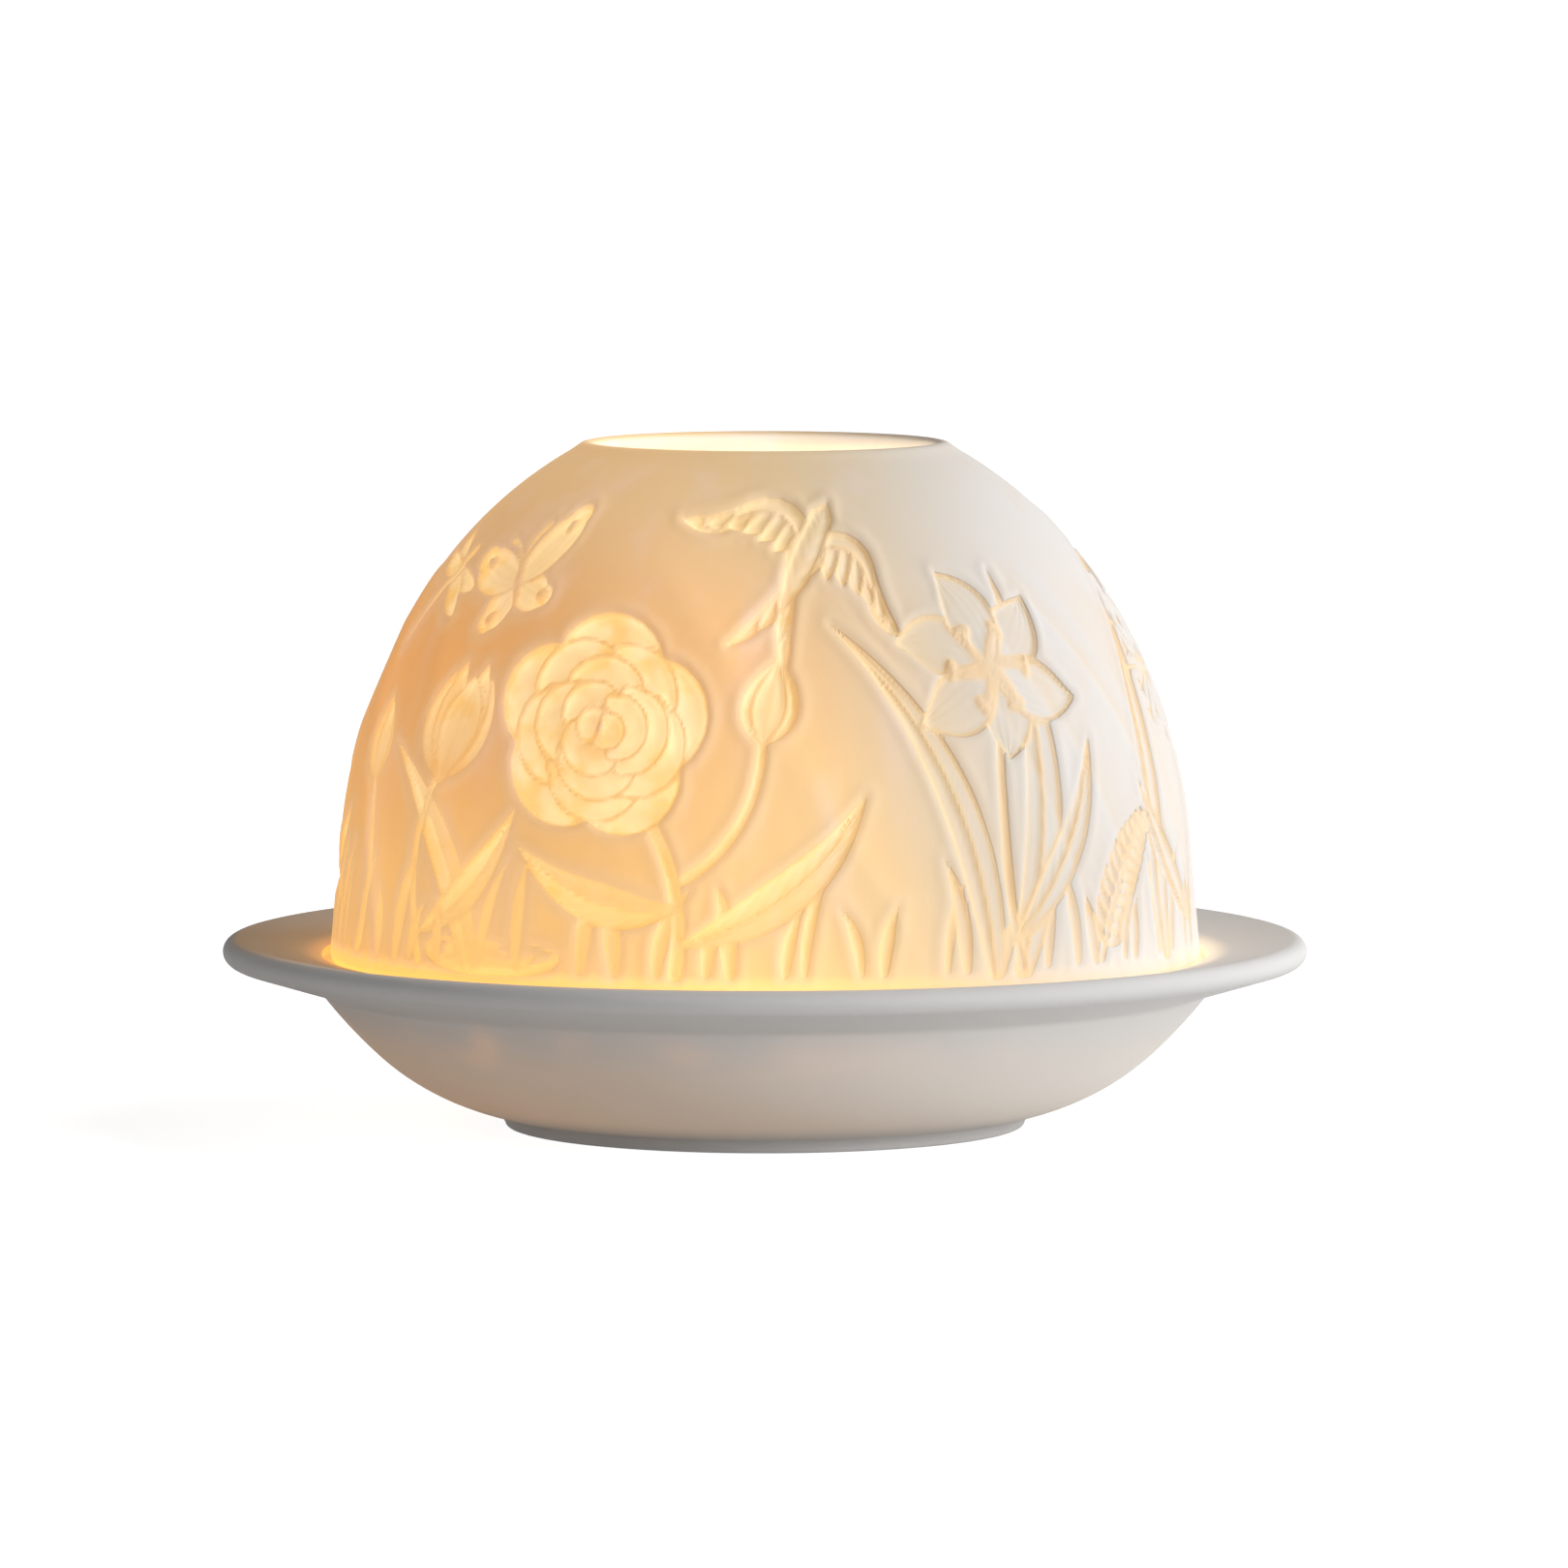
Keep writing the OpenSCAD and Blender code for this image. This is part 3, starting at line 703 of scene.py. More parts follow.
def swallow(facing, centre, size, tilt):
    """A bird in flight: two wings of long feathers, a forked tail and a slim body."""
    turn = math.radians(tilt)

    def at(forward, left):
        return (centre[0] + size * (forward * math.cos(turn) - left * math.sin(turn)),
                centre[1] + size * (forward * math.sin(turn) + left * math.cos(turn)))

    def feather(start, bend, end, half):
        flight_feather(facing, at(*start), at(*bend), at(*end), half * size)

    for side in (1, -1):
        feather((-0.5, 0.05 * side), (-1.0, 0.08 * side), (-1.6, 0.45 * side), 0.1)
        feather((-0.5, 0.03 * side), (-0.8, 0.05 * side), (-1.2, 0.16 * side), 0.11)
        edge = curve((0.3, 0.12 * side), (0.72, 0.6 * side), (0.12, 1.05 * side), 7)
        for k in range(6, -1, -1):
            fan = math.radians(6 + 8 * k)
            reach = 0.5 + 0.05 * k
            start = edge[k]
            end = start + reach * np.array([-math.cos(fan), side * math.sin(fan)])
            lag = 0.4 * fan
            bend = start + 0.5 * reach * np.array([-math.cos(lag), side * math.sin(lag)])
            feather(start, bend, end, 0.13)
        relief.blade(facing, [at(*place) for place in edge],
                     shaped((1, 1, 0.9, 0.8, 0.5), 0.1 * size), (0.85, 0.95), 0.2)
    relief.blade(facing, [at(forward, 0) for forward in (-0.75, -0.3, 0.1, 0.45, 0.62, 0.8)],
                 shaped((0.3, 0.8, 1.0, 1.0, 0.85, 0.9, 0.7, 0.05), 0.2 * size), (0.95, 0.8),
                 0.35, (8, 0, 1.2))


def butterfly(facing, centre, size, tilt):
    """Two pairs of wings, a body and two feelers; tilt turns it in its plane."""
    for side in (-1, 1):
        for angle, reach, half in ((-42, 0.7, 0.25), (36, 1.0, 0.3)):
            way = tilt + (angle if side > 0 else 180 - angle)
            broad_wing(facing, centre, polar(centre, way - side * 14, 0.6 * reach * size),
                       polar(centre, way, reach * size), half * size)
            spot = polar(centre, way, 0.86 * reach * size)
            relief.blade(facing, [spot, polar(spot, way, 0.4)], [0.45, 0.45], (0.3, 0.3), 0)
        feeler(facing, centre, polar(centre, tilt + 90, 0.5 * size),
               polar(centre, tilt + 90 - side * 26, 0.75 * size))
    body = [polar(centre, tilt - 90, 0.4 * size), polar(centre, tilt + 90, 0.28 * size)]
    relief.blade(facing, body, [0.15, 0.5, 0.65, 0.5], (0.3, 0.3), 0.1)


def dragonfly(facing, centre, size, tilt):
    """Two pairs of narrow wings on a long body."""
    for side in (-1, 1):
        for angle, reach in ((12, 0.86), (-14, 0.92)):
            way = tilt + (angle if side > 0 else 180 - angle)
            narrow_wing(facing, centre, polar(centre, way - side * 6, 0.5 * size),
                        polar(centre, way, reach * size), 0.13 * size)
    body = [polar(centre, tilt - 92, 1.1 * size), polar(centre, tilt + 90, 0.3 * size)]
    relief.blade(facing, body, [0.3, 0.34, 0.36, 0.4, 0.75, 0.7], (0.5, 0.8), 0.1, (8, 0, 0))


# %% A meadow
GROUND = 3.0
chance = np.random.default_rng(11)


def meadow(facing, width, count, tall):
    """Grass blades that rise from the ground and lean out of the wind."""
    for k in range(count):
        x = width * (k / (count - 1) - 0.5) + chance.uniform(-1.5, 1.5)
        height = tall * chance.uniform(0.5, 1.0)
        lean = chance.uniform(0.1, 0.5) * height * (1 if k % 3 else -0.7)
        grass(facing, (x, GROUND), (x + 0.1 * lean, GROUND + 0.65 * height),
              (x + lean, GROUND + height), chance.uniform(0.5, 1.0))


print("drawing tools ready")

# %% [markdown]
# ## The garden round the dome
#
# The picture runs all the way round. First come broad shallow sweeps, like light falling through
# tall leaves, then grass, then each group of plants from back to front. The open flowers are 20
# to 25 mm across, and birds and insects fly in the gaps above them.

# %% The front of the picture
BROAD_SWEEPS = (  # facing, start, bend and end of the middle line, half-widths, strength
    (8, (14, GROUND), (10, 32), (-12, 54), (3, 9, 12, 8), 0.8),
    (22, (14, GROUND), (12, 30), (2, 52), (2, 6, 8, 5), 0.6),
    (-46, (6, GROUND), (4, 22), (-8, 48), (2, 6, 9, 5), 0.5),
)
NARROW_SWEEPS = ((22, 2.4, 0.9), (34, 1.6, 0.7), (46, 3.2, 0.6), (58, 2.0, 0.8))


def draw_front():
    for facing, start, bend, end, halves, strength in BROAD_SWEEPS:
        relief.sweep(facing, curve(start, bend, end, 24), halves, strength)
    for facing, half, strength in NARROW_SWEEPS:
        line = curve((13, GROUND), (10, 26), (-9, 50), 24)
        relief.sweep(facing, line, shaped((0.5, 1, 1.2, 1), half), strength)
    ripples(-34, (-4, GROUND + 1.2), 9)
    meadow(4, 66, 16, 12)
    reed(12, (16, GROUND), (14, 26), (-1, 40), 2.1)
    reed(20, (13, GROUND), (20, 22), (14, 45), 2.4)
    reed(-30, (-10, GROUND), (-14, 18), (-25, 26), 2.0)
    stem(-8, (-3, GROUND), (-1, 16), (-11, 25), 0.75)
    leaf(-8, (-2.6, GROUND + 3), (12, 10), (17, 22), 2.4)
    leaf(-8, (-2.8, GROUND + 7), (-13, 8), (-21, 16), 2.3)
    stem(-8, (-2.2, GROUND + 10), (6, 18), (6, 28), 0.55)
    bud(-8, (6, 27.5), 82, 9)
    rose(-8, (-12, 29), 11.5, 12)
    swallow(4, (2, 47), 7.6, 62)
    butterfly(-44, (-3, 44), 7.5, 24)
    stem(-52, (0, GROUND), (-4, 14), (1, 24), 0.6)
    leaf(-52, (0, GROUND + 3), (9, 10), (13, 20), 2.0)
    tulip(-52, (1, 23), 84, 12)
    stem(38, (-2, GROUND), (-5, 20), (-1, 32), 0.65)
    leaf(38, (-2.5, GROUND + 3), (7, 14), (11, 27), 2.0)
    lily(38, (-1, 35), 11.5, 96)
    fern(38, (10, GROUND), (14, 14), (21, 19), 10, 4.4)


draw_front()
print("front of the picture:", relief.strokes, "strokes")


# %% The sides and the back
def draw_round():
    for facing in (75, 118, 165, 210, 256, 292):
        relief.sweep(facing, curve((8, GROUND), (6, 26), (-8, 52), 24), (3, 8, 10, 6), 0.6)
        meadow(facing, 44, 11, 12)
    ripples(186, (-12, GROUND + 1.2), 9)
    reed(74, (-6, GROUND), (-9, 26), (3, 42), 2.1)
    stem(74, (4, GROUND), (8, 16), (6, 26), 0.6)
    leaf(74, (4, GROUND + 2), (-5, 12), (-9, 22), 2.0)
    seed_head(74, (6, 33), 6.5)
    dragonfly(78, (8, 46), 8, 30)
    stem(112, (0, GROUND), (-4, 16), (-2, 27), 0.7)
    leaf(112, (0, GROUND + 2), (10, 12), (15, 26), 2.3)
    fern(112, (-6, GROUND), (-14, 16), (-19, 22), 11, 4.6)
    lily(112, (-2, 32), 12, 20)
    butterfly(138, (2, 45), 8, -18)
    reed(144, (0, GROUND), (-4, 26), (-12, 36), 2.2)
    stem(162, (2, GROUND), (6, 16), (2, 25), 0.75)
    leaf(162, (2, GROUND + 3), (12, 10), (17, 21), 2.3)
    rose(162, (1, 29), 11, 40)
    stem(196, (0, GROUND), (4, 18), (1, 30), 0.6)
    leaf(196, (0, GROUND + 3), (-8, 12), (-11, 24), 2.0)
    tulip(196, (1, 29), 92, 13)
    swallow(214, (2, 46), 7.4, 118)
    stem(228, (0, GROUND), (-5, 12), (-2, 20), 0.65)
    reed(236, (4, GROUND), (10, 24), (4, 42), 2.2)
    fern(242, (-2, GROUND), (-6, 18), (2, 28), 11, 4.4)
    lily(228, (-2, 25), 10.5, 66)
    stem(264, (0, GROUND), (4, 16), (-1, 28), 0.75)
    leaf(264, (0, GROUND + 3), (10, 12), (15, 18), 2.2)
    leaf(264, (0, GROUND + 7), (-8, 12), (-14, 24), 2.1)
    rose(264, (-2, 32), 10.5, 70)
    stem(286, (4, GROUND), (8, 12), (4, 22), 0.55)
    bud(286, (4, 21.5), 100, 9)
    dragonfly(292, (-2, 44), 8, -24)


draw_round()
print("whole picture:", relief.strokes, "strokes")

# %% [markdown]
# ## Cutting the relief
#
# The face moves in along its own normal by the cut, so the wall is really thinner there, and it
# swells a little beside each outline, where the tool pushes the clay up. The distances stay on
# the mesh as attributes, because the glow depends on them, and so do the ribs, which are finer
# than the mesh and come out as a bump.

# %% Build the dome's mesh
CUT_DEPTH, RIM_HEIGHT, WASH_DEPTH = 0.8, 0.15, 0.22
CLEAR_OF_LIP, CLEAR_OF_FOOT = 3, 2  # rows over which the relief fades out


def smooth(value, low, high):
    share = np.clip((value - low) / (high - low), 0, 1)
    return share * share * (3 - 2 * share)


def build_dome_mesh():
    rows = len(dome_outline)
    radius = np.repeat(dome_outline[:, :1], COLUMNS, axis=1)
    height = np.repeat(dome_outline[:, 1:], COLUMNS, axis=1)
    normal = normals_of(outer_face)
    row = np.arange(OUTER_ROWS)
    nearest_end = np.minimum((OUTER_ROWS - 1 - row) / CLEAR_OF_LIP, row / CLEAR_OF_FOOT)
    fade = np.clip(nearest_end, 0, 1)[:, None]
    body = smooth(relief.inside, -0.3, 0.3)
    wall = 1 - smooth(relief.line, 0.1, 0.55)
    swell = np.exp(-((relief.inside + 0.7) / 0.6) ** 2)
    cut = CUT_DEPTH * relief.depth * body * (1 - 0.55 * wall)
    sink = cut + RIM_HEIGHT * (1 - swell) + WASH_DEPTH * relief.wash
    radius[:OUTER_ROWS] -= sink * fade * normal[:, :1]
    height[:OUTER_ROWS] -= sink * fade * normal[:, 1:]
    mesh = turned_mesh("dome_shell", radius, height, COLUMNS, closed=True)
    add_mark(mesh, "inside", relief.inside * fade - FAR * (1 - fade), -FAR)
    add_mark(mesh, "line", relief.line, FAR)
    add_mark(mesh, "depth", relief.depth, 0.0)
    add_mark(mesh, "vein", relief.vein, 0.0)
    add_mark(mesh, "wash", relief.wash * fade, 0.0)
    lining = np.zeros((rows, COLUMNS))
    lining[OUTER_ROWS + LIP_ROWS // 2:rows - len(foot_edge)] = 1
    add_mark(mesh, "lining", lining, 0.0)
    return mesh


def add_mark(mesh, name, grid, rest):
    """One number at each point of a turned mesh; rows that the grid doesn't reach get rest."""
    values = np.full(len(mesh.vertices), rest)
    values[:grid.size] = grid.ravel()
    mesh.attributes.new(name, "FLOAT", "POINT").data.foreach_set("value", values)


dome_mesh = build_dome_mesh()
print("dome mesh:", len(dome_mesh.polygons), "faces")

# %% [markdown]
# ## Porcelain that glows
#
# Unglazed porcelain is matt and faintly grainy. Real light would have to wander through the wall,
# which is slow to render and is lost in an export, so the glow is written as emission: deep orange
# through the full wall and cream through the cuts, with a deeper mottle where the clay is uneven.
# It is warmest low on the left, redder higher up, and pales again at the lip. Daylight from the
# right is painted in too: a fixed gradient in the dome's own frame fades the glow towards the
# right and the top, where the base colour turns from a warm painted glow tint to white porcelain
# with a faint blush, and the cuts and sweeps keep an amber base colour, a painted glow. The foot
# glows in a line of its own, because light leaks out under it. The lining carries no relief; it
# glows by painted emission, cool on the left and warm on the right.

# %% The colours of the glow
PORCELAIN = (0.86, 0.845, 0.825)
GLOW_TINTED_PORCELAIN = (0.84, 0.70, 0.44)
PAINTED_AMBER_GLOW = (0.92, 0.70, 0.42)
BLUSH = (0.88, 0.79, 0.70)
GLOW_LIP = (0.53, 0.29, 0.12)
GLOW_HIGH = (0.58, 0.21, 0.025)
GLOW_LOW = (0.71, 0.345, 0.07)
THIN_HIGH = (0.82, 0.57, 0.26)
THIN_LOW = (0.80, 0.46, 0.12)
THIN_DEEP = (0.80, 0.40, 0.045)
HALO = (0.58, 0.33, 0.17)
LINING_GLOW_LEFT = (0.92, 0.94, 1.0)
LINING_GLOW_RIGHT = (0.95, 0.82, 0.64)
GRAIN_FINE, GRAIN_HEIGHT = 2600, 0.00001
CUT_HEIGHT, STREAK_HEIGHT = 0.0005, 0.000012
SHEEN = 0.2
print("the full wall glows", GLOW_LOW, "low and", GLOW_HIGH, "high")


# %% The dome's porcelain
def streaks(paint, here, squeeze, scale, detail=2, roughness=0.5):
    """Noise that runs out long up the wall, as slip does when it drains from a mould."""
    return paint.noise(paint.stretched(here, (1, 1, squeeze)), scale, detail, roughness)


def daylight(paint, x, z, start, end):
    """Painted light: 0 where the candle wins, on the left, 1 where daylight does, right and above.
    """
    return paint.rise(x + 0.25 * z, start, end)


def dome_paint():
    paint = Paint("dome_porcelain")
    here = paint.here()
    x, _, z = paint.axes(here)
    marks = ("inside", "line", "depth", "vein", "wash", "lining")
    inside, line, depth, vein, wash, lining = map(paint.mark, marks)
    # where a stroke is cut, where a thin wall stands between two, and a wider band along it
    body = paint.rise(inside, -0.1, 0.15)
    wall = 1 - paint.rise(line, 0.08, 0.42)
    edge = 1 - paint.rise(line, 0.15, 0.75)
    # how thin the wall is: the cut's depth, less on the walls and on the ribs
    turns = 2 * math.pi * vein
    rib = 0.5 + 0.5 * paint.node("ShaderNodeMath", {"operation": "COSINE"}, {0: turns})
    cut = body * depth * (1 - 0.45 * wall * body) * (1 - 0.13 * rib)
    # a band outside each stroke where the glow is painted dimmer and duller round each motif
    halo = (1 - body) * paint.rise(inside, -2.4, 0.0)
    # the candle's colour through the full wall, then through the cuts
    thick = paint.mix(paint.rise(z - 0.25 * x, 0.026, 0.062), GLOW_LOW, GLOW_HIGH)
    thick = paint.mix(paint.rise(z, 0.052, 0.073), thick, GLOW_LIP)
    thick = paint.mix(0.45 * halo, thick, HALO)
    thick = paint.scale(thick, 0.92 + 0.38 * wash - 0.03 * halo)
    thin = paint.mix(paint.rise(z, 0.024, 0.042), THIN_LOW, THIN_HIGH)
    mottle = paint.noise(here, 230, 2)
    thin = paint.mix(0.7 * paint.rise(mottle + 0.12 * wall, 0.46, 0.68), thin, THIN_DEEP)
    glow = paint.mix(cut, thick, thin)
    # how strongly it shines: the painted daylight fades it, the clay is never quite even, and on
    # the daylit side the cut walls keep a painted amber glow
    streak = streaks(paint, here, 0.12, 900, 3, 0.6)
    cloud = paint.noise(here, 35, 3)
    day = daylight(paint, x, z, 0.000, 0.039)
    strength = (1 - 0.9 * day) * (0.93 + 0.14 * cloud) * (0.94 + 0.12 * streak)
    foot = 1 - paint.rise(z, (LEDGE_Z + 1.8) * MM, (LEDGE_Z + 3.2) * MM)
    strength = strength * (1 + 0.3 * foot) + 0.12 * foot + 0.13 * body * edge * day
    outer = paint.scale(glow, strength)
    # the lining glows by painted emission, cool on the left and warm on the right
    lit_lining = paint.mix(paint.rise(x, -0.012, 0.022), LINING_GLOW_LEFT, LINING_GLOW_RIGHT)
    # base colour: a warm painted glow tint on the left, white porcelain where painted daylight
    # falls
    clay_and_glow = paint.mix(daylight(paint, x, z, 0.014, 0.046), GLOW_TINTED_PORCELAIN, PORCELAIN)
    drift = streaks(paint, here, 0.14, 170)
    clay_and_glow = paint.mix(0.55 * paint.rise(drift, 0.48, 0.7), clay_and_glow, BLUSH)
    # on the daylit side the cuts and sweeps get an amber base colour, a painted glow
    amber_glow_share = body * edge * 0.6 + cut * 0.14 + 0.34 * wash
    clay_and_glow = paint.mix(amber_glow_share * paint.rise(day, 0.2, 0.8), clay_and_glow, PAINTED_AMBER_GLOW)
    grain = paint.noise(here, GRAIN_FINE, 3, 0.6)
    hollow = CUT_HEIGHT * cut + GRAIN_HEIGHT * grain + STREAK_HEIGHT * streak
    return paint.finish(
        Base_Color=clay_and_glow,
        Roughness=0.8,
        Specular_IOR_Level=SHEEN,
        Emission_Color=paint.mix(lining, outer, paint.scale(lit_lining, 0.42)),
        Normal=paint.bump(0 - hollow),
    )


add_piece(dome_mesh, "shade", "dome", dome_paint())

# %% [markdown]
# ## The saucer's porcelain
#
# The saucer is cast from the same clay. Its bowl is thin enough for a little of the candle's light
# to come through, warmest in patches high on its left, while the thick rim stays grey. On the
# ledge, where the dome stands, a little light leaks out, and the foot is painted darker towards
# the floor, a painted contact shadow. The mesh marks which of its rows are inside.

# %% The saucer
DULL_PORCELAIN = (0.83, 0.815, 0.80)
BOWL_LEFT, BOWL_RIGHT = (0.135, 0.056, 0.003), (0.06, 0.035, 0.008)
PATCH = (0.34, 0.12, 0.006)
LEAK_LEFT, LEAK_RIGHT = (0.62, 0.20, 0.03), (0.90, 0.62, 0.28)
WELL_LIGHT = (0.8, 0.5, 0.2)
SAUCER_COLUMNS = 320


def saucer_paint():
    paint = Paint("saucer_porcelain")
    here = paint.here()
    x, y, z = paint.axes(here)
    lining = paint.mark("lining")
    away = (x * x + y * y) ** 0.5
    cloud = paint.noise(here, 30, 3)
    grain = paint.noise(here, GRAIN_FINE, 3, 0.6)
    side = paint.rise(x, -0.06, 0.05)
    # the ledge that the dome stands on, the bowl's underside, and the well round the candle
    seat = (1 - paint.rise(away, 0.0484, 0.0520)) * paint.rise(away, 0.0448, 0.0470)
    seat = seat * paint.rise(z, 0.0165, 0.0180)
    bowl = (1 - lining) * (1 - paint.rise(away, 0.0440, 0.0510)) * paint.rise(z, 0.0010, 0.0040)
    well = lining * (1 - paint.rise(away, 0.0440, 0.0460))
    # the light that each of them lets out
    through = paint.scale(paint.mix(side, BOWL_LEFT, BOWL_RIGHT), bowl * (0.85 + 0.3 * cloud))
    patch = paint.rise(paint.noise(here, 55, 2), 0.47, 0.62)
    patch = patch * paint.rise(z, 0.0090, 0.0140) * (1 - side)
    through = paint.add_colours(through, paint.scale(PATCH, bowl * patch))
    leak = paint.scale(paint.mix(side, LEAK_LEFT, LEAK_RIGHT), seat * (0.45 + 0.1 * side))
    warm = paint.scale(WELL_LIGHT, 0.3 * well)
    # the foot's base colour darkens towards the floor, a painted contact shadow
    painted_foot_shade = 0.84 + 0.16 * paint.rise(z, 0.0008, 0.0035)
    return paint.finish(
        Base_Color=paint.scale(paint.mix(cloud, PORCELAIN, DULL_PORCELAIN), painted_foot_shade),
        Roughness=0.75,
        Specular_IOR_Level=SHEEN,
        Emission_Color=paint.add_colours(paint.add_colours(through, leak), warm),
        Normal=paint.bump(GRAIN_HEIGHT * grain),
    )


saucer = turned_piece("saucer_turned", saucer_outline, SAUCER_COLUMNS, "base", "saucer",
                      saucer_paint())
lining = np.zeros((len(saucer_outline), SAUCER_COLUMNS))
lining[-len(upper_side):] = 1
add_mark(saucer.data, "lining", lining, 0.0)

# %% [markdown]
# ## The tealight
#
# A tealight's cup is pressed from aluminium foil and its rim is rolled outwards. The wax has
# burnt for a while: round the wick it is a glossy pool, and outside the pool it is still dull. It
# creeps up a little against both wick and cup. Cup and wax are turned outlines again, from the
# sizes of the frame's own pieces.

# %% The cup
CUP_LOW, CUP_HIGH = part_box("candle_cup")
CUP_Z, CUP_TOP_Z = 1000 * CUP_LOW.z, 1000 * CUP_HIGH.z
CUP_R, CUP_FLARE, CUP_SHEET, CUP_BEAD_R = 18.6, 0.4, 0.3, 0.5
CUP_CORNER_R, PANEL_R, PANEL_H = 1.4, 12.0, 0.4
bead_z = CUP_TOP_Z - CUP_BEAD_R
bead_r = CUP_R + CUP_FLARE - CUP_SHEET / 2


def cup_skin(depth, start_r):
    """One face of the cup's sheet, from its pressed panel up to the bead."""
    corner_c = (CUP_R - CUP_CORNER_R, CUP_Z + CUP_CORNER_R)
    panel_z = CUP_Z + PANEL_H
    return np.concatenate([
        [(start_r, panel_z + depth), (PANEL_R - 0.2, panel_z + depth)],
        [(PANEL_R + 0.3 * depth, panel_z + 0.7 * depth), (PANEL_R + 0.4 + depth, CUP_Z + depth)],
        arc(corner_c, CUP_CORNER_R - depth, -90, 0, 10),
        [(CUP_R + 0.5 * CUP_FLARE - depth, 0.5 * (CUP_Z + bead_z))],
        [(CUP_R + CUP_FLARE - depth, bead_z - 0.5)],
    ])


cup_outline = np.concatenate([
    cup_skin(0, AXIS_R),
    arc((bead_r, bead_z), CUP_BEAD_R, -40, 220, 18),
    cup_skin(CUP_SHEET, AXIS_R)[::-1],
])


def aluminium_paint():
    paint = Paint("cup_aluminium")
    here = paint.here()
    drawn = streaks(paint, here, 0.04, 1600, 4, 0.65)
    smear = paint.noise(here, 160, 3)
    return paint.finish(
        Base_Color=paint.mix(smear, (0.80, 0.80, 0.81), (0.66, 0.66, 0.67)),
        Metallic=1.0,
        Roughness=0.26 + 0.2 * smear,
        Normal=paint.bump(0.00002 * drawn, 0.6),
    )


turned_piece("tealight_cup", cup_outline, 192, "tealight", "candle_cup",
             aluminium_paint())

# %% The wax
WAX_TOP_Z, WAX_GAP, WAX_FOOT_R, WAX_FLARE = CUP_Z + 12.0, 0.1, 6.4, 0.3
WAX_R = CUP_R + WAX_FLARE - CUP_SHEET - WAX_GAP
WAX_DIP, WAX_SUNK, POOL_R, WICK_R, WICK_GAP = 0.8, 0.3, 13.6, 0.8, 0.05
HOLDER_TOP_Z = CUP_Z + 5.3
share = np.linspace(1, 0, 40)
at_cup = 0.5 * np.exp(-(1 - share) * WAX_R / 0.5)
at_wick = 0.55 * np.exp(-(share * WAX_R - WICK_R) / 0.9)
brim = 0.22 * np.exp(-((share * WAX_R - POOL_R) / 0.8) ** 2)
dip = WAX_DIP * (1 - share ** 2)
wax_top = np.column_stack([
    np.maximum(share * WAX_R, WICK_R + WICK_GAP),
    WAX_TOP_Z - dip + np.minimum(at_cup + at_wick, 0.6) * 0.6 + brim - WAX_SUNK,
])
wax_outline = np.concatenate([
    cup_skin(CUP_SHEET + WAX_GAP, WAX_FOOT_R)[:-2],
    [(WAX_R - 0.05, WAX_TOP_Z - 0.4)],
    wax_top,
    [(WICK_R + WICK_GAP, HOLDER_TOP_Z)],
])


def wax_paint():
    paint = Paint("tealight_wax")
    here = paint.here()
    x, y, _ = paint.axes(here)
    away = (x * x + y * y) ** 0.5
    uneven = paint.noise(here, 220, 3)
    solid = paint.rise(away + 0.0016 * uneven, 0.0128, 0.0146)
    # the wax near the wick glows, a painted pool of the flame's light that fades outwards
    lit = paint.mix(paint.rise(away, 0.002, 0.018), (1.0, 0.72, 0.34), (0.42, 0.24, 0.08))
    frost = paint.noise(here, 1500, 3, 0.7)
    return paint.finish(
        Base_Color=paint.mix(solid, (0.86, 0.80, 0.66), (0.93, 0.91, 0.86)),
        Roughness=0.06 + 0.46 * solid,
        Emission_Color=paint.scale(lit, 0.55),
        Normal=paint.bump(0.00003 * frost * solid),
    )


turned_piece("tealight_wax", wax_outline, 160, "tealight", "candle_wax", wax_paint(),
             closed=True)

# %% [markdown]
# ## Wick, holder and flame
#
# The wick is braided cotton, so three strands twist round each other. Above the wax it is charred
# and bends over a little, as a burning wick does, and its very tip glows. Its thin tinplate holder
# keeps the frame's own shape and only gets a finish. The flame is a closed drop that has no colour
# of its own and only shines: blue and clear at its root and yellow above.

# %% The wick
WICK_LOW, WICK_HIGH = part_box("wick")
WICK_Z, WICK_TIP_Z = 1000 * WICK_LOW.z, 1000 * WICK_HIGH.z
STRANDS, STRAND_R, STRAND_OFFSET, TWISTS = 3, 0.42, 0.36, 5.5
WICK_ROWS, STRAND_SIDES = 90, 10


def wick_middle(share):
    """The wick's middle line: straight in the wax, bent over a little above it."""
    z = WICK_Z + share * (WICK_TIP_Z - 0.3 - WICK_Z)
    above = max(0.0, (z - WAX_TOP_Z) / (WICK_TIP_Z - WAX_TOP_Z))
    return np.array([0.9 * above ** 2, -0.3 * above ** 2, z])


def level(angle):
    """A step of length 1 that way in the plane."""
    return np.array([math.cos(angle), math.sin(angle), 0])


def strand_points(start_turn):
    points = np.empty((WICK_ROWS, STRAND_SIDES, 3))
    for row, share in enumerate(np.linspace(0, 1, WICK_ROWS)):
        turn = start_turn + 2 * math.pi * TWISTS * share
        end = 1 - 0.45 * max(0.0, (share - 0.93) / 0.07)
        middle = wick_middle(share) + STRAND_OFFSET * level(turn)
        for k in range(STRAND_SIDES):
            points[row, k] = middle + STRAND_R * end * level(2 * math.pi * k / STRAND_SIDES)
    return points


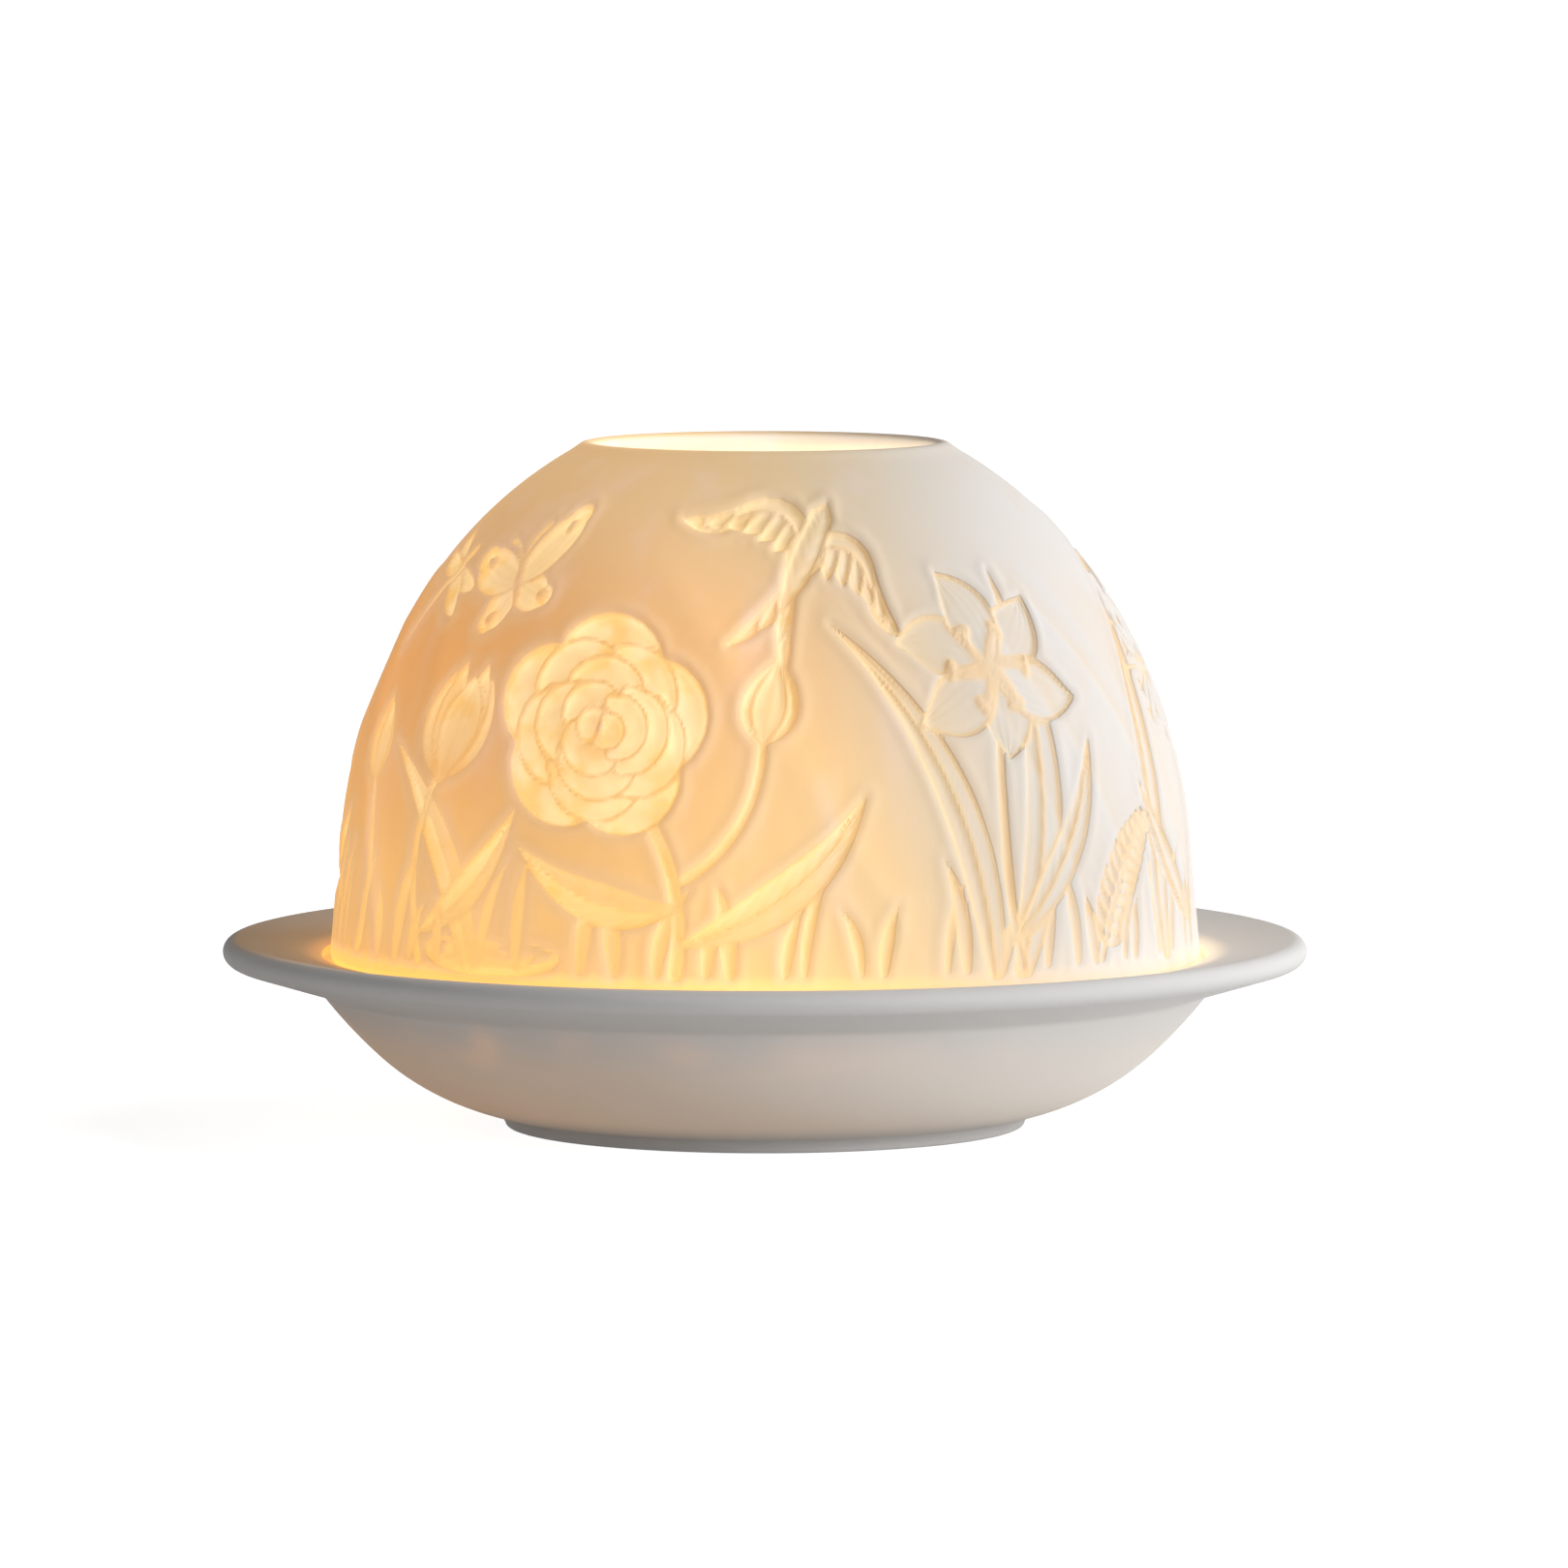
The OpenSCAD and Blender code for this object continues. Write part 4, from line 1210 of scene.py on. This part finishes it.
def wick_mesh():
    sides = STRAND_SIDES
    corners, faces = [], []
    for strand in range(STRANDS):
        first = len(corners)
        points = strand_points(2 * math.pi * strand / STRANDS) * MM
        corners.extend(points.reshape(-1, 3).tolist())
        for row in range(WICK_ROWS - 1):
            for k in range(sides):
                a, b = first + row * sides + k, first + row * sides + (k + 1) % sides
                faces.append((a, b, b + sides, a + sides))
        faces.append(tuple(first + k for k in range(sides))[::-1])
        faces.append(tuple(first + (WICK_ROWS - 1) * sides + k for k in range(sides)))
    mesh = bpy.data.meshes.new("tealight_wick")
    mesh.from_pydata(corners, [], faces)
    mesh.polygons.foreach_set("use_smooth", [True] * len(mesh.polygons))
    return mesh


def wick_paint():
    paint = Paint("wick_cotton")
    here = paint.here()
    _, _, z = paint.axes(here)
    fuzz = paint.noise(here, 3000, 3, 0.7)
    char = paint.rise(z + 0.001 * fuzz, 0.0158, 0.0178)
    ember = paint.rise(z, 0.0222, 0.0234)
    return paint.finish(
        Base_Color=paint.mix(char, (0.72, 0.66, 0.52), (0.025, 0.022, 0.02)),
        Roughness=0.9,
        Emission_Color=paint.scale((1.0, 0.28, 0.05), ember * (0.4 + 0.8 * fuzz)),
        Normal=paint.bump(0.00005 * fuzz, 0.8),
    )


add_piece(wick_mesh(), "tealight", "wick", wick_paint())


# %% The holder keeps its shape
def tinplate_paint():
    paint = Paint("holder_tinplate")
    rolled = paint.noise(paint.stretched(paint.here(), (0.1, 1, 1)), 1400, 3, 0.6)
    return paint.finish(
        Base_Color=paint.mix(rolled, (0.62, 0.62, 0.61), (0.5, 0.5, 0.49)),
        Metallic=1.0,
        Roughness=0.3 + 0.15 * rolled,
        Normal=paint.bump(0.00001 * rolled, 0.6),
    )


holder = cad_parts["wick_holder"]
holder.data.materials.clear()
holder.data.materials.append(tinplate_paint())
print("dressed", holder.name)

# %% The flame
FLAME_FOOT_Z, FLAME_TALL, FLAME_R = WICK_TIP_Z - 3.2, 21.0, 4.5
FLAME_ROWS, FLAME_COLUMNS = 34, 40


def flame_mesh():
    """A drop that is turned like the rest and then swayed sideways a little."""
    share = np.linspace(0, 1, FLAME_ROWS)
    swell = np.sin(math.pi * share ** 0.62) ** 0.9 * (1 - 0.35 * share)
    one_row = np.ones((1, FLAME_COLUMNS))
    radius = np.maximum(FLAME_R * swell, AXIS_R)[:, None] * one_row
    height = (FLAME_FOOT_Z + FLAME_TALL * share)[:, None] * one_row
    mesh = turned_mesh("flame", radius, height, FLAME_COLUMNS)
    for vertex in mesh.vertices:
        up = (vertex.co.z / MM - FLAME_FOOT_Z) / FLAME_TALL
        vertex.co.x += MM * (0.6 + 0.7 * math.sin(2.2 * up))
    return mesh


def flame_paint():
    paint = Paint("candle_flame")
    _, _, z = paint.axes(paint.here())
    up = (z - FLAME_FOOT_Z * MM) / (FLAME_TALL * MM)
    low = paint.mix(paint.rise(up, 0.0, 0.3), (0.05, 0.12, 0.75), (1.0, 0.62, 0.16))
    body = paint.mix(paint.rise(up, 0.15, 0.55), low, (1.0, 0.86, 0.48))
    tip = paint.mix(paint.rise(up, 0.72, 1.0), body, (1.0, 0.45, 0.08))
    return paint.finish(
        Base_Color=(0.0, 0.0, 0.0, 1),
        Roughness=1.0,
        Emission_Color=tip,
        Alpha=0.25 + 0.75 * paint.rise(up, 0.02, 0.38),
    )


add_piece(flame_mesh(), "tealight", None, flame_paint())

# %% [markdown]
# ## Floor, sky and lamps
#
# The ground is white, as in a catalogue. The floor's white comes from its own material, and only
# for rays that the camera or a shiny surface sends, so it never adds light to the object, and the
# object's shadow still shows faintly. The sky is white for the same rays and nearly dark for all
# others.

# %% The floor
FLOOR_HALF, FLOOR_GAP = 6.0, 0.00005
WHITE, FLOOR_GREY = (1, 1, 1, 1), (0.85, 0.85, 0.85, 1)


def seen_rays(paint):
    """1 for the rays that the camera or a shiny or clear surface sends, and 0 for the others."""
    kinds = ("Is Camera Ray", "Is Glossy Ray", "Is Transmission Ray")
    camera_ray, glossy_ray, clear_ray = paint.node("ShaderNodeLightPath", out=kinds)
    shiny = camera_ray.math("MAXIMUM", camera_ray, glossy_ray)
    return shiny.math("MAXIMUM", shiny, clear_ray)


def floor_paint():
    paint = Paint("studio_floor")
    x, y, _ = paint.axes(paint.here())
    far = paint.rise((x * x + y * y) ** 0.5, 0.06, 0.5)
    matt = paint.node("ShaderNodeBsdfDiffuse", {}, {"Color": FLOOR_GREY})
    shine = {"Color": WHITE, "Strength": 0.88 + 0.12 * far}
    white = paint.node("ShaderNodeEmission", {}, shine)
    lit = paint.node("ShaderNodeAddShader", {}, {0: matt, 1: white})
    return paint.end(paint.node("ShaderNodeMixShader", {}, {0: seen_rays(paint), 1: matt, 2: lit}))


floor_mesh = bpy.data.meshes.new("studio_floor")
corners = [(-1, -1), (1, -1), (1, 1), (-1, 1)]
corners = [(FLOOR_HALF * x, FLOOR_HALF * y, -FLOOR_GAP) for x, y in corners]
floor_mesh.from_pydata(corners, [], [(0, 1, 2, 3)])
floor_mesh.materials.append(floor_paint())
floor = bpy.data.objects.new("studio_floor", floor_mesh)
bpy.context.scene.collection.objects.link(floor)
print("floor", 2 * FLOOR_HALF, "m wide")

# %% The sky
SKY_LIGHT = 0.05
sky = Paint("studio_sky", bpy.data.worlds)
seen = seen_rays(sky)
shine = {"Color": WHITE, "Strength": SKY_LIGHT + (1 - SKY_LIGHT) * seen}
bpy.context.scene.world = sky.end(sky.node("ShaderNodeBackground", {}, shine),
                                  "ShaderNodeOutputWorld")
print("sky gives", SKY_LIGHT, "of full light")

# %% [markdown]
# ## Lamps
#
# Large round lamps give soft daylight, as from windows. The strongest stands low on the right and
# gives the porcelain its turn from light to shade, one behind it draws the right edge, and one
# high on the right lights the rims. A weak one in front on the left keeps the shaded side from
# going black. The candle's own light is a small warm point inside the flame, and rides with it.

# %% The lamps
LAMP_FAR, LAMP_SIZE, LAMP_AIM_Z = 1.4, 0.7, 0.04
LAMPS = (  # name, azimuth, elevation, watts
    ("window_right", 63, 6, 10.2),
    ("window_behind", 130, 22, 4.5),
    ("window_high", 78, 46, 6.2),
    ("room_front", -35, 3, 3.3),
)


def soft_lamp(name, azimuth, elevation, watts):
    """A round lamp that looks at the dome; azimuth 0 is in front and 90 on the right."""
    turn, climb = math.radians(azimuth), math.radians(elevation)
    flat = LAMP_FAR * math.cos(climb)
    data = bpy.data.lights.new(name, "AREA")
    data.shape = "DISK"
    data.size = LAMP_SIZE
    data.energy = watts
    lamp = bpy.data.objects.new(name, data)
    high = LAMP_AIM_Z + LAMP_FAR * math.sin(climb)
    lamp.location = (flat * math.sin(turn), -flat * math.cos(turn), high)
    aim = -lamp.location.copy()
    aim.z += LAMP_AIM_Z
    lamp.rotation_euler = aim.to_track_quat("-Z", "Y").to_euler()
    bpy.context.scene.collection.objects.link(lamp)


for lamp in LAMPS:
    soft_lamp(*lamp)

candle_light = bpy.data.lights.new("candle_light", "POINT")
candle_light.energy = 0.006
candle_light.color = (1.0, 0.75, 0.47)
candle_light.shadow_soft_size = 0.004
candle_lamp = bpy.data.objects.new("candle_light", candle_light)
candle_lamp.location = (0.006, 0, (FLAME_FOOT_Z + 0.5 * FLAME_TALL) * MM)
bpy.context.scene.collection.objects.link(candle_lamp)
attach(candle_lamp, "tealight")
